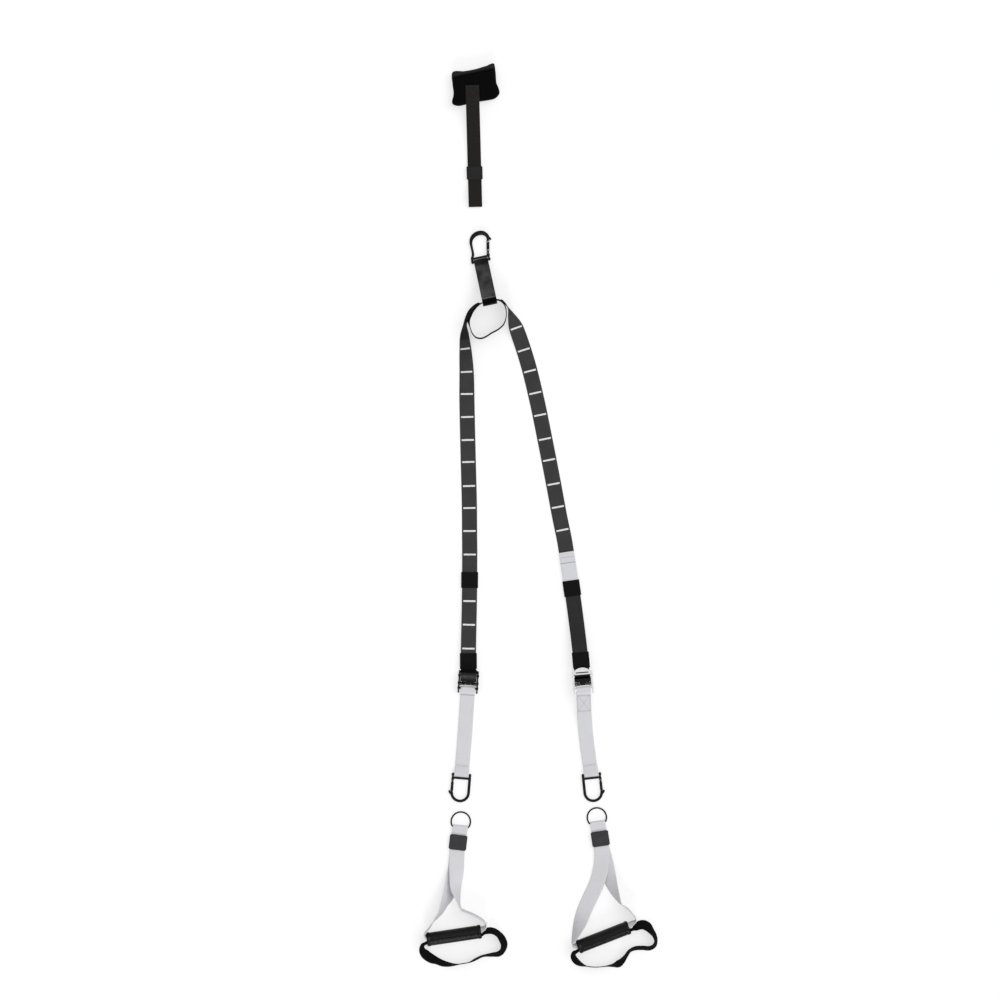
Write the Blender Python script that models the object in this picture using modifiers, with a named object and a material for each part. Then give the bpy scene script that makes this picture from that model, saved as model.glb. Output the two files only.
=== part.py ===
"""Suspension trainer laid out on the floor as four loose units: a door anchor, the main strap
with its carabiner, equalizer ring, two cam buckles and two snap hooks, and two handles.

Metres, +Z up, the floor at Z = 0, the door anchor toward +Y, the origin under the middle of
the layout.
"""

from math import asin, atan2, ceil, cos, degrees, hypot, pi, radians, sin

import bmesh
import bpy
import numpy as np
from mathutils import Euler, Matrix, Vector

# Webbing and the clearance between pieces that touch
WEB_THICK = 0.002
LEG_WEB_WIDTH = 0.038
BRIDGE_WEB_WIDTH = 0.036
DOOR_WEB_WIDTH = 0.034
FOOT_WEB_WIDTH = 0.025
SEAT_GAP = 0.0003
WELD = 0.000001
LEAST_BEND = 0.0001

# Layout: the ring's middle, then each unit from its neighbour
RING_X = -0.1259
RING_Y = 0.4912
DOOR_STEP_X = -0.0135
DOOR_STEP_Y = 0.0612
HANDLE_STEP_X = {"left": -0.0028, "right": 0.0155}
HANDLE_STEP_Y = {"left": 0.129, "right": 0.119}

# Door anchor
DOOR_TURN = 1.5
DOOR_STRAP_LENGTH = 0.305
DOOR_EYE_LENGTH = 0.064
DOOR_EYE_HEIGHT = 0.013
DOOR_EYE_RADIUS = 0.0035
DOOR_RETURN_LENGTH = 0.112
DOOR_SLEEVE_DROP = 0.084
PAD_WIDTH = 0.11
PAD_LENGTH = 0.092
PAD_THICK = 0.028
PAD_STEP_X = 0.008
PAD_SEAM_DEPTH = 0.003
PAD_OUTLINE_SHARES = (
    (-0.535, 0.335), (-0.26, 0.376), (0.02, 0.43), (0.28, 0.505), (0.445, 0.555), (0.478, 0.38),
    (0.502, 0.04), (0.545, -0.32), (0.45, -0.42), (0.26, -0.467), (0.02, -0.50), (-0.2, -0.55),
    (-0.42, -0.60), (-0.535, -0.56), (-0.53, -0.26), (-0.53, 0.04),
)
PAD_RING_SHARES = (
    (0.80, 0.0), (0.93, 0.0), (0.985, 0.11), (1.0, 0.30), (1.0, 0.50), (1.0, 0.70),
    (0.98, 0.88), (0.91, 0.97), (0.72, 1.0),
)

# Sleeves and elastic keepers that go round a strap
SLEEVE_WALL = 0.0012
SLEEVE_SIDE_GAP = 0.0018
DOOR_SLEEVE_LENGTH = 0.034
HANDLE_SLEEVE_LENGTH = 0.038
KEEPER_WALL = 0.0012
KEEPER_SIDE_GAP = 0.001
KEEPER_LENGTH = 0.0395
BAND_CORNER = 0.0012

# Anchor strap and equalizer ring: the ring's rows hold x and y as shares of its span, the lean in
# degrees and the lift as a share of one webbing layer
ANCHOR_TURN = 12.0
ANCHOR_LENGTH = 0.1057
ANCHOR_EYE_HALF = 0.007
ANCHOR_ROUND = 0.004
RING_SPAN = 0.0963
RING_STEP = 0.006
RING_OUTLINE_SHARES = (
    (-0.213, 0.377, 98, 1), (0.044, 0.439, 90, 1), (0.234, 0.483, 90, 1),
    (0.322, 0.46, 90, 0.7), (0.397, 0.4, 90, 0.3), (0.475, 0.182, 90, 0), (0.468, 0.026, 90, 0),
    (0.403, -0.156, 90, 0), (0.26, -0.286, 90, 0), (0.088, -0.379, 90, 0), (-0.026, -0.455, 90, 0),
    (-0.169, -0.514, 90, 0), (-0.312, -0.488, 90, 0), (-0.408, -0.379, 90, 0),
    (-0.46, -0.229, 90, 0), (-0.499, -0.052, 99, 0), (-0.468, 0.104, 107, 0),
    (-0.364, 0.26, 104, 0.4),
)
RING_CROSSING_SHARE = (0.044, 0.439)

# Legs: where a leg leaves the ring its rows hold x and y as shares of the ring's span, further
# down as shares of the drop from ring to buckle, and then the lean in degrees
LEG_DROP = 0.89125
LEG_STEP = 0.022
LEFT_LEAVE_SHARES = ((-0.588, -0.12, 78), (-0.606, -0.416, 56), (-0.583, -0.805, 38))
LEFT_ROUTE_SHARES = (
    (-0.06, -0.143, 21), (-0.059, -0.227, 3), (-0.056, -0.367, 0), (-0.052, -0.536, 0),
    (-0.0515, -0.62, 0),
)
LEFT_DOUBLED_SHARES = (
    (-0.0511, -0.6535), (-0.0512, -0.675), (-0.0514, -0.732), (-0.0522, -0.80),
    (-0.0534, -0.86), (-0.0545, -0.915), (-0.0549, -0.95), (-0.0545, -0.9825),
)
LEFT_BAR_SHARE = (-0.054, -1.0)
RIGHT_LEAVE_SHARES = ((0.541, 0.25, -84), (0.615, 0.065, -60), (0.75, -0.287, -12))
RIGHT_ROUTE_SHARES = (
    (0.091, -0.059, -3), (0.109, -0.115, 0), (0.137, -0.227, 0), (0.16, -0.339, 0),
    (0.182, -0.452, 0), (0.203, -0.564, 0), (0.2145, -0.62, 0),
)
RIGHT_DOUBLED_SHARES = (
    (0.220, -0.6535), (0.2235, -0.677), (0.235, -0.755), (0.242, -0.805), (0.249, -0.86),
    (0.2555, -0.915), (0.2595, -0.95), (0.2622, -0.981),
)
RIGHT_BAR_SHARE = (0.264, -1.0)
UPPER_KEEPER_DROP = {"left": 0.238, "right": 0.219}
LOWER_KEEPER_DROP = {"left": 0.0355, "right": 0.0385}

# Cam buckle: its own frame has the pinch bar as origin, +Y toward the ring, +Z to the lever
BUCKLE_TURN = {"left": -3.8, "right": 4.8}
BAR_RADIUS = 0.003
AXLE_RADIUS = 0.0025
AXLE_DROP = 0.01875
AXLE_RISE = 0.002
STRAP_BAR_DROP = 0.0315
HEAD_RADIUS = 0.0038
HEAD_THICK = 0.0009
CHEEK_LENGTH = 0.056
CHEEK_FRONT = 0.012
CHEEK_HEIGHT = 0.0164
CHEEK_THICK = 0.004
CHEEK_SIDE_GAP = 0.002
CHEEK_ROUND = 0.0006
CHEEK_OUTLINE_SHARES = (
    (0.0, 0.0), (0.0, 0.40), (0.05, 0.64), (0.18, 0.80), (0.38, 0.96), (0.56, 1.0),
    (0.72, 0.93), (0.86, 0.74), (0.96, 0.55), (1.0, 0.33), (0.99, 0.0),
)
PLATE_THICK = 0.0018
PLATE_BACK = 0.004
LIP_BASE = 0.011
LIP_CREST = 0.0215
SLOT_WIDTH = 0.033
SLOT_HEIGHT = 0.0028
SLOT_FRONT = 0.0105
LEVER_SIDE_GAP = 0.0006
LEVER_PRESS = 14.0
HUB_RADIUS = 0.005
NOSE_HALF_ANGLE = 22.0
NOSE_FADE_SHARE = 0.5
TEETH = 5
TOOTH_DEPTH = 0.0008
TAB_REACH = 0.031
TAB_THICK = 0.0026
TAB_CURL = 0.0015
TAB_CURL_LENGTH = 0.005
TAB_CORNER = 0.005
COIL_WINDOW_INNER = 0.0065
COIL_WINDOW_OUTER = 0.018
COIL_WINDOW_RADIUS = 0.0072
FLOOR_CLEARANCE = 0.0005

# Double torsion spring
SPRING_WIRE_RADIUS = 0.0008
COIL_RADIUS = 0.0052
COIL_PITCH = 0.0022
COIL_TURNS = 4
COIL_POINTS = 8
SPRING_BRIDGE_REACH = 0.0075
SPRING_LEG_LENGTH = 0.006
SPRING_LEG_DEPTH = 0.002

# Lower straps
LOWER_LENGTH = 0.2175
LOWER_BOW = {"left": 0.001, "right": -0.004}
LOWER_FLAT_SHARES = {"left": (0.12, 0.20), "right": (0.40, 0.52)}

# Snap hooks: the strap pin is the origin, +Y to the far end, +X to the gate side
PIN_RADIUS = 0.0025
PIN_HEAD_RADIUS = 0.0033
PIN_HEAD_THICK = 0.0008
EAR_RADIUS = 0.0046
EAR_THICK = 0.0048
EAR_SIDE_GAP = 0.0008
CROSSBAR_RISE = 0.008
CROSSBAR_RADIUS = 0.0029
HINGE_RISE = 0.014
TONGUE_THICK = 0.0022
TONGUE_HALF = 0.0024
GATE_START = 0.0048
GATE_TIP_GAP = 0.0005
GATE_PIN_RADIUS = 0.001
GATE_BEAD = 0.0004
GATE_BEAD_LENGTH = 0.0022
SLOT_CLEAR = 0.0003
POST_TOP = 0.0026
SPUR_RADIUS = 0.002
HOOK_TURN = {"left": -4.6, "right": 6.0}
HOOK_WIRE_RADIUS = 0.0032
HOOK_STRAIGHT = 0.044
HOOK_GATE_RADIUS = 0.0034
HOOK_SPUR_OUT = 0.0062
HOOK_SPUR_DROP = 0.005
CARABINER_REACH = 0.068
CARABINER_WIRE_RADIUS = 0.0028
CARABINER_GATE_RADIUS = 0.0038
CARABINER_GATE_LEAN = 11.6
CARABINER_GATE_LENGTH = 0.0368
CARABINER_NOSE_STRAIGHT = 0.0022
CARABINER_SPUR_OUT = 0.0068
CARABINER_SPUR_DROP = 0.003
CARABINER_OUTLINE_SHARES = (
    (0.418, 0.835, 1.4), (0.376, 0.90, 1.55), (0.301, 0.965, 1.75), (0.206, 0.998, 1.85),
    (0.088, 1.0, 1.85), (-0.022, 0.97, 1.8), (-0.118, 0.905, 1.65), (-0.188, 0.816, 1.4),
    (-0.223, 0.706, 1.2), (-0.229, 0.56, 1.0), (-0.229, 0.382, 1.0), (-0.241, 0.25, 1.05),
    (-0.306, 0.13, 1.0),
)

# D-rings
RING_WIRE_RADIUS = 0.002
D_HALF = 0.024
D_CENTRE_RISE = 0.0125
D_TURN = {"left": -5.0, "right": 8.0}

# Handles: route rows hold x and y as shares of the drop from D-ring to grip, then the lean in
# degrees, the lift as a share of one webbing layer and the curl as a share of the tube's
HANDLE_DROP = 0.275
HANDLE_STEP = 0.013
GRIP_LENGTH = 0.134
GRIP_RADIUS = 0.0176
GRIP_TURN = {"left": 8.5, "right": 21.3}
GRIP_PLACE_SHARES = {"left": (-0.0573, -0.982), "right": (0.0515, -1.034)}
CORE_INNER_RADIUS = 0.0127
CORE_WALL = 0.0017
FLANGE_RADIUS = 0.0166
FLANGE_THICK = 0.0016
RUBBER_RIM = 0.0011
RUBBER_RIM_LENGTH = 0.006
CURL_RADIUS = 0.0113
TUBE_OVERRUN = 0.003
FRONT_ROUTE_SHARES = {
    "left": (
        (-0.013, -0.073, 0, 1.66, 0), (-0.021, -0.142, 0, 1.66, 0), (-0.029, -0.212, 0, 1.66, 0),
        (-0.033, -0.292, -4, 1.6, 0), (-0.035, -0.372, -10, 1.3, 0), (-0.038, -0.461, -28, 0.9, 0),
        (-0.04, -0.55, -46, 0.5, 0), (-0.028, -0.614, -66, 0.1, 0), (-0.016, -0.664, -78, 0, 0),
        (-0.004, -0.716, -87, 0, 0), (0.012, -0.746, -90, 0, 0), (0.048, -0.763, -90, 0, 0),
        (0.098, -0.783, -90, 0, 0), (0.148, -0.807, -90, 0, 0), (0.192, -0.834, -90, 0, 0),
        (0.221, -0.86, -90, 0, 0), (0.231, -0.879, -90, 0.05, 0.1), (0.222, -0.895, -90, 0.5, 0.35),
        (0.205, -0.9, -90, 1.8, 0.75),
    ),
    "right": (
        (0.012, -0.074, 0, 1.66, 0), (0.024, -0.146, 0, 1.66, 0), (0.034, -0.218, 0, 1.66, 0),
        (0.039, -0.3, 3, 1.6, 0), (0.035, -0.38, 8, 1.5, 0), (0.019, -0.461, 11, 1.3, 0),
        (-0.004, -0.542, 10, 0.9, 0), (-0.039, -0.623, 10, 0.5, 0), (-0.081, -0.709, 12, 0.2, 0),
        (-0.123, -0.804, 18, 0, 0), (-0.152, -0.883, 30, 0, 0), (-0.184, -0.966, 52, 0, 0),
        (-0.208, -1.03, 70, 0, 0), (-0.226, -1.075, 84, 0, 0), (-0.232, -1.095, 90, 0.05, 0.05),
        (-0.227, -1.105, 90, 0.3, 0.25), (-0.215, -1.099, 90, 1.8, 0.8),
    ),
}
BACK_ROUTE_SHARES = {
    "left": (
        (-0.315, -0.98, -90, 1.2, 0.55), (-0.321, -0.98, -90, 0.1, 0.1),
        (-0.326, -0.973, -90, 0, 0), (-0.322, -0.963, -90, 0, 0), (-0.31, -0.95, -90, 0, 0),
        (-0.295, -0.932, -90, 0, 0), (-0.275, -0.906, -90, 0, 0), (-0.245, -0.86, -94, 0, 0),
        (-0.215, -0.82, -102, 0, 0), (-0.177, -0.77, -110, 0, 0), (-0.151, -0.71, -119, 0, 0),
        (-0.112, -0.633, -138, 0, 0), (-0.09, -0.562, -146, 0, 0), (-0.064, -0.463, -160, 0, 0),
        (-0.043, -0.374, -174, 0.2, 0), (-0.035, -0.294, -179, 0.5, 0),
        (-0.029, -0.213, -180, 0.66, 0), (-0.021, -0.143, -180, 0.66, 0),
        (-0.013, -0.074, -180, 0.66, 0),
    ),
    "right": (
        (0.296, -0.894, 90, 2.2, 0.85), (0.32, -0.887, 90, 1, 0.5), (0.34, -0.882, 90, 0.2, 0.15),
        (0.346, -0.872, 90, 0, 0), (0.342, -0.858, 90, 0, 0), (0.326, -0.84, 90, 0, 0),
        (0.307, -0.815, 90, 0, 0), (0.277, -0.783, 90, 0, 0), (0.242, -0.757, 92, 0, 0),
        (0.21, -0.732, 97, 0, 0), (0.189, -0.7, 105, 0, 0), (0.171, -0.665, 115, 0, 0),
        (0.146, -0.61, 128, 0, 0), (0.125, -0.554, 140, 0, 0), (0.103, -0.48, 155, 0, 0),
        (0.082, -0.396, 166, 0, 0), (0.059, -0.306, 176, 0.3, 0), (0.034, -0.219, 180, 0.66, 0),
        (0.024, -0.147, 180, 0.66, 0), (0.012, -0.075, 180, 0.66, 0),
    ),
}
FOOT_ROUTE_SHARES = {
    "left": (
        (-0.321, -1.066, 84, 2, 0.5), (-0.338, -1.077, 70, 0.6, 0.15), (-0.344, -1.107, 50, 0, 0),
        (-0.321, -1.155, 14, 0, 0), (-0.272, -1.194, 12, 0, 0), (-0.215, -1.216, 36, 0, 0),
        (-0.155, -1.24, 44, 0, 0), (-0.104, -1.248, 56, 0, 0), (-0.051, -1.249, 71, 0, 0),
        (0.017, -1.24, 82, 0, 0), (0.086, -1.227, 79, 0, 0), (0.142, -1.199, 71, 0, 0),
        (0.192, -1.174, 72, 0, 0), (0.287, -1.159, 60, 0, 0), (0.355, -1.149, 50, 0, 0),
        (0.386, -1.117, 54, 0, 0), (0.398, -1.069, 49, 0, 0), (0.383, -1.024, 49, 0, 0),
        (0.34, -0.968, 60, 0, 0), (0.291, -0.943, 59, 0, 0), (0.249, -0.942, 60, 0, 0),
        (0.219, -0.959, 74, 0.6, 0.15), (0.209, -0.978, 86, 2, 0.5),
    ),
    "right": (
        (-0.191, -1.175, 84, 2, 0.5), (-0.211, -1.183, 72, 0.6, 0.15), (-0.219, -1.213, 56, 0, 0),
        (-0.191, -1.261, 48, 0, 0), (-0.144, -1.289, 64, 0, 0), (-0.095, -1.302, 80, 0, 0),
        (0.001, -1.309, 80, 0, 0), (0.089, -1.299, 76, 0, 0), (0.146, -1.292, 60, 0, 0),
        (0.188, -1.282, 36, 0, 0), (0.223, -1.252, 48, 0, 0), (0.255, -1.21, 62, 0, 0),
        (0.292, -1.161, 65, 0, 0), (0.338, -1.14, 59, 0, 0), (0.404, -1.135, 58, 0, 0),
        (0.477, -1.137, 57, 0, 0), (0.513, -1.116, 60, 0, 0), (0.528, -1.071, 70, 0, 0),
        (0.517, -1.025, 67, 0, 0), (0.488, -0.983, 56, 0, 0), (0.451, -0.943, 30, 0, 0),
        (0.415, -0.928, 27, 0, 0), (0.379, -0.931, 38, 0, 0), (0.348, -0.949, 56, 0, 0),
        (0.329, -0.964, 76, 1, 0.2), (0.32, -0.972, 86, 2, 0.5),
    ),
}

# Facets
FOLD_POINTS = 8
CORNER_POINTS = 4
ROUND_STEPS = 14
GRIP_STEPS = 22
CURL_CELLS = 4
SHARP_ANGLE = 35.0

SIDES = ("left", "right")
LAYER = WEB_THICK + SEAT_GAP
HALF_LAYER = LAYER / 2
BAR_FOLD = BAR_RADIUS + SEAT_GAP + WEB_THICK / 2
PIN_FOLD = PIN_RADIUS + SEAT_GAP + WEB_THICK / 2
RING_FOLD = RING_WIRE_RADIUS + SEAT_GAP + WEB_THICK / 2
BAR_STRAP_RADIUS = BAR_FOLD + WEB_THICK / 2
PLATE_OUTER = BAR_STRAP_RADIUS + SEAT_GAP + PLATE_THICK
CHEEK_INNER = LEG_WEB_WIDTH / 2 + CHEEK_SIDE_GAP
CHEEK_OUTER = CHEEK_INNER + CHEEK_THICK
EAR_INNER = BRIDGE_WEB_WIDTH / 2 + EAR_SIDE_GAP
POST_X = EAR_INNER + EAR_THICK / 2
AXLE_TO_BAR = hypot(AXLE_DROP, AXLE_RISE)
CONTACT_ANGLE = -atan2(AXLE_RISE, AXLE_DROP)
NOSE_RADIUS = AXLE_TO_BAR - BAR_STRAP_RADIUS - SEAT_GAP
LEVER_ANGLE = asin((BAR_STRAP_RADIUS - AXLE_RISE + SEAT_GAP) / AXLE_TO_BAR) + radians(LEVER_PRESS)
LEVER_HEIGHT = (
    AXLE_RISE + TAB_REACH * sin(LEVER_ANGLE) + (TAB_CURL + TAB_THICK) * cos(LEVER_ANGLE)
)
BAR_HEIGHT = {"left": PLATE_OUTER, "right": LEVER_HEIGHT + FLOOR_CLEARANCE}
SIDE_PROFILE = (pi / 2, 0, pi / 2)


def clear_scene():
    for obj in list(bpy.data.objects):
        bpy.data.objects.remove(obj, do_unlink=True)


def collection(name):
    made = bpy.data.collections.new(name)
    bpy.context.scene.collection.children.link(made)
    return made


def look(name, colour, roughness, metallic=0.0):
    made = bpy.data.materials.new(name)
    made.use_nodes = True
    surface = made.node_tree.nodes["Principled BSDF"]
    surface.inputs["Base Color"].default_value = (*colour, 1.0)
    surface.inputs["Roughness"].default_value = roughness
    surface.inputs["Metallic"].default_value = metallic
    return made


def empty(name, at, turn=(0, 0, 0)):
    """A frame that pieces hang from, with its matrix ready to use."""
    made = bpy.data.objects.new(name, None)
    PARTS.objects.link(made)
    made.location = at
    made.rotation_euler = turn
    bpy.context.view_layer.update()
    return made


def baked(obj, transform=None):
    """The finished mesh of a curve or a modified mesh, its loose caps welded; the object goes."""
    graph = bpy.context.evaluated_depsgraph_get()
    mesh = bpy.data.meshes.new_from_object(obj.evaluated_get(graph))
    shape = bmesh.new()
    shape.from_mesh(mesh)
    bmesh.ops.remove_doubles(shape, verts=shape.verts, dist=WELD)
    bmesh.ops.recalc_face_normals(shape, faces=shape.faces)
    if transform is not None:
        shape.transform(transform)
    shape.to_mesh(mesh)
    shape.free()
    bpy.data.objects.remove(obj)
    return mesh


def new_curve(dimensions):
    curve = bpy.data.curves.new("outline", "CURVE")
    curve.dimensions = dimensions
    obj = bpy.data.objects.new("outline", curve)
    PARTS.objects.link(obj)
    return curve, obj


def add_line(curve, points, closed, shares=None):
    spline = curve.splines.new("POLY")
    spline.points.add(len(points) - 1)
    spline.use_cyclic_u = closed
    for index, place in enumerate(points):
        spline.points[index].co = (place[0], place[1], place[2] if len(place) > 2 else 0, 1)
        spline.points[index].radius = 1.0 if shares is None else shares[index]


def rod(points, radius, shares=None, closed=False, detail=2):
    """A round bar or wire along the points; shares scale its radius point by point."""
    curve, obj = new_curve("3D")
    curve.bevel_depth = radius
    curve.bevel_resolution = detail
    curve.use_fill_caps = not closed
    add_line(curve, points, closed, shares)
    return baked(obj)


def plate(outline, thickness, holes=(), transform=None):
    """A flat plate in the XY plane, as thick on either side of it."""
    curve, obj = new_curve("2D")
    curve.fill_mode = "BOTH"
    curve.extrude = thickness / 2
    add_line(curve, outline, True)
    for hole in holes:
        add_line(curve, hole, True)
    return baked(obj, transform)


def turned(profile, steps, transform=None, closed=False):
    """A shape turned round Z from points of radius and height."""
    mesh = bpy.data.meshes.new("profile")
    count = len(profile)
    edges = [(i, (i + 1) % count) for i in range(count if closed else count - 1)]
    mesh.from_pydata([(radius, 0, height) for radius, height in profile], edges, [])
    obj = bpy.data.objects.new("profile", mesh)
    PARTS.objects.link(obj)
    screw = obj.modifiers.new("Turn", "SCREW")
    screw.steps = steps
    screw.render_steps = steps
    screw.use_merge_vertices = True
    screw.merge_threshold = WELD
    return baked(obj, transform)


def pin_mesh(radius, length, head_radius, head_thick, axis):
    """A rivet along an axis: a shank through its holes and a head past each end."""
    end = length / 2 + SEAT_GAP
    profile = [
        (0, end + head_thick), (head_radius * 0.75, end + head_thick), (head_radius, end),
        (radius, end), (radius, -end), (head_radius, -end),
        (head_radius * 0.75, -end - head_thick), (0, -end - head_thick),
    ]
    return turned(profile, ROUND_STEPS, AXES[axis])


def cylinder(radius, length, axis, middle=(0, 0, 0)):
    mesh = turned([(0, length / 2), (radius, length / 2), (radius, -length / 2), (0, -length / 2)],
                  ROUND_STEPS, Matrix.Translation(middle) @ AXES[axis])
    return mesh


def block(size, middle):
    shape = bmesh.new()
    bmesh.ops.create_cube(shape, size=1)
    shape.transform(Matrix.Translation(middle) @ Matrix.Diagonal((*size, 1)))
    mesh = bpy.data.meshes.new("block")
    shape.to_mesh(mesh)
    shape.free()
    return mesh


def piece(name, mesh, finish, parent=None, at=(0, 0, 0), turn=(0, 0, 0)):
    obj = bpy.data.objects.new(name, mesh)
    mesh.name = name
    PARTS.objects.link(obj)
    obj.parent = parent
    obj.location = at
    obj.rotation_euler = turn
    mesh.materials.clear()
    mesh.materials.append(finish)
    mesh.shade_smooth()
    mesh.set_sharp_from_angle(angle=radians(SHARP_ANGLE))
    return obj


def shape_with(obj, mesh, operation):
    """Joins a mesh to the object, or cuts it away, in the object's own frame."""
    tool = bpy.data.objects.new(obj.name + "_" + operation.lower(), mesh)
    CUTTERS.objects.link(tool)
    tool.parent = obj
    tool.hide_render = True
    tool.display_type = "WIRE"
    change = obj.modifiers.new(operation.title(), "BOOLEAN")
    change.operation = operation
    change.object = tool


def smooth(points, step, closed=False):
    """Points about one step apart on a smooth curve through the given rows, whose first two
    numbers are a place; every other number follows along."""
    points = np.array(points, float)
    count = len(points)
    ahead = np.roll(points, -1, 0) - points
    gap = np.maximum(np.hypot(ahead[:, 0], ahead[:, 1]), WELD)
    slope = ahead / gap[:, None]
    before = np.roll(slope, 1, 0)
    back_gap = np.roll(gap, 1)[:, None]
    tangent = (slope * back_gap + before * gap[:, None]) / (back_gap + gap[:, None])
    tangent[:, 2:][slope[:, 2:] * before[:, 2:] <= 0] = 0
    if not closed:
        tangent[0] = slope[0]
        tangent[-1] = slope[-2]
    rows = []
    for i in range(count if closed else count - 1):
        j = (i + 1) % count
        parts = max(1, ceil(gap[i] / step))
        for k in range(parts):
            t = k / parts
            rows.append(
                (2 * t**3 - 3 * t**2 + 1) * points[i] + (t**3 - 2 * t**2 + t) * gap[i] * tangent[i]
                + (3 * t**2 - 2 * t**3) * points[j] + (t**3 - t**2) * gap[i] * tangent[j]
            )
    if not closed:
        rows.append(points[-1])
    return np.array(rows)


def lay(points, width, step, closed=False):
    """Rows of a strap that lies, leans or stands on the floor: its middle line, the direction
    across it and its curl. Each point holds x, y, lean in degrees, lift and curl. The lower
    edge rests on the floor, the lift raises it from there, and lean 90 stands it on edge."""
    path = smooth(points, step, closed)
    if closed:
        heading = np.roll(path[:, :2], -1, 0) - np.roll(path[:, :2], 1, 0)
    else:
        heading = np.gradient(path[:, :2], axis=0)
    heading /= np.linalg.norm(heading, axis=1)[:, None]
    lean = np.radians(path[:, 2])
    curl = path[:, 4]
    level = np.cos(lean)
    across = np.column_stack((-heading[:, 1] * level, heading[:, 0] * level, np.sin(lean)))
    bend = np.maximum(np.abs(curl) * width / 2, LEAST_BEND)
    half = width / 2 * np.sin(np.minimum(bend, pi / 2)) / bend
    rise = half * np.abs(np.sin(lean)) + WEB_THICK / 2 * np.abs(level)
    height = rise + np.maximum(path[:, 3], 0)
    return np.column_stack((path[:, :2], height)), across, curl


def side_view(frame, points, across=None):
    """Rows of a strap drawn from its side: y and z in the frame, the strap across its X."""
    across = frame.to_3x3() @ Vector((1, 0, 0)) if across is None else across
    places = np.array([frame @ Vector((0, y, z)) for y, z in points])
    return places, np.tile(np.array(across), (len(points), 1)), np.zeros(len(points))


def arc(middle, radius, start, end, count):
    """Points of a round bend, from one angle in degrees to another."""
    angles = np.radians(np.linspace(start, end, count))
    return [(middle[0] + radius * cos(a), middle[1] + radius * sin(a)) for a in angles]


def joined(*runs):
    return tuple(np.concatenate(columns) for columns in zip(*runs))


def ribbon(name, rows, width, finish, cells=1, closed=False, thickness=None):
    """A strap: one row of points across it at each place of its route, then its thickness."""
    places, across, curls = rows
    if closed:
        heading = np.roll(places, -1, 0) - np.roll(places, 1, 0)
    else:
        heading = np.gradient(places, axis=0)
    normal = np.cross(heading, across)
    normal /= np.linalg.norm(normal, axis=1)[:, None]
    shape = bmesh.new()
    lines = []
    for place, side, up, curl in zip(places, across, normal, curls):
        line = []
        for cell in range(cells + 1):
            s = (cell / cells - 0.5) * width
            if abs(curl) * width > LEAST_BEND:
                line.append(place + side * sin(curl * s) / curl + up * (1 - cos(curl * s)) / curl)
            else:
                line.append(place + side * s)
        lines.append([shape.verts.new(point) for point in line])
    for i in range(len(lines) if closed else len(lines) - 1):
        here, there = lines[i], lines[(i + 1) % len(lines)]
        for cell in range(cells):
            shape.faces.new((here[cell], there[cell], there[cell + 1], here[cell + 1]))
    mesh = bpy.data.meshes.new(name)
    shape.to_mesh(mesh)
    shape.free()
    obj = piece(name, mesh, finish)
    wall = obj.modifiers.new("Thickness", "SOLIDIFY")
    wall.thickness = WEB_THICK if thickness is None else thickness
    wall.offset = 0
    return obj


def band(name, frame, inner_width, inner_height, length, wall, finish):
    """A sleeve or an elastic keeper: a closed band round the straps that it holds."""
    half_x = inner_width / 2 + wall / 2
    half_z = inner_height / 2 + wall / 2
    outline = []
    for corner, (x, z) in enumerate(((1, 1), (-1, 1), (-1, -1), (1, -1))):
        middle = (x * (half_x - BAND_CORNER), z * (half_z - BAND_CORNER))
        outline += arc(middle, BAND_CORNER, 90 * corner, 90 * corner + 90, CORNER_POINTS)
    places = np.array([frame @ Vector((x, 0, z)) for x, z in outline])
    across = np.tile(np.array(frame.to_3x3() @ Vector((0, -1, 0))), (len(outline), 1))
    rows = places, across, np.zeros(len(outline))
    return ribbon(name, rows, length, finish, closed=True, thickness=wall)


def at(x, y, z, turn):
    return Matrix.Translation((x, y, z)) @ Matrix.Rotation(turn, 4, "Z")


def spot(frame, x, y, z=0.0):
    return frame @ Vector((x, y, z))


def note(label, place, axis=None):
    """Prints a joint's or a pin's place, for whoever documents the part."""
    words = [f"{value:.5f}" for value in place]
    if axis is not None:
        words += ["axis"] + [f"{value:.5f}" for value in axis]
    print(label, *words)


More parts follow.
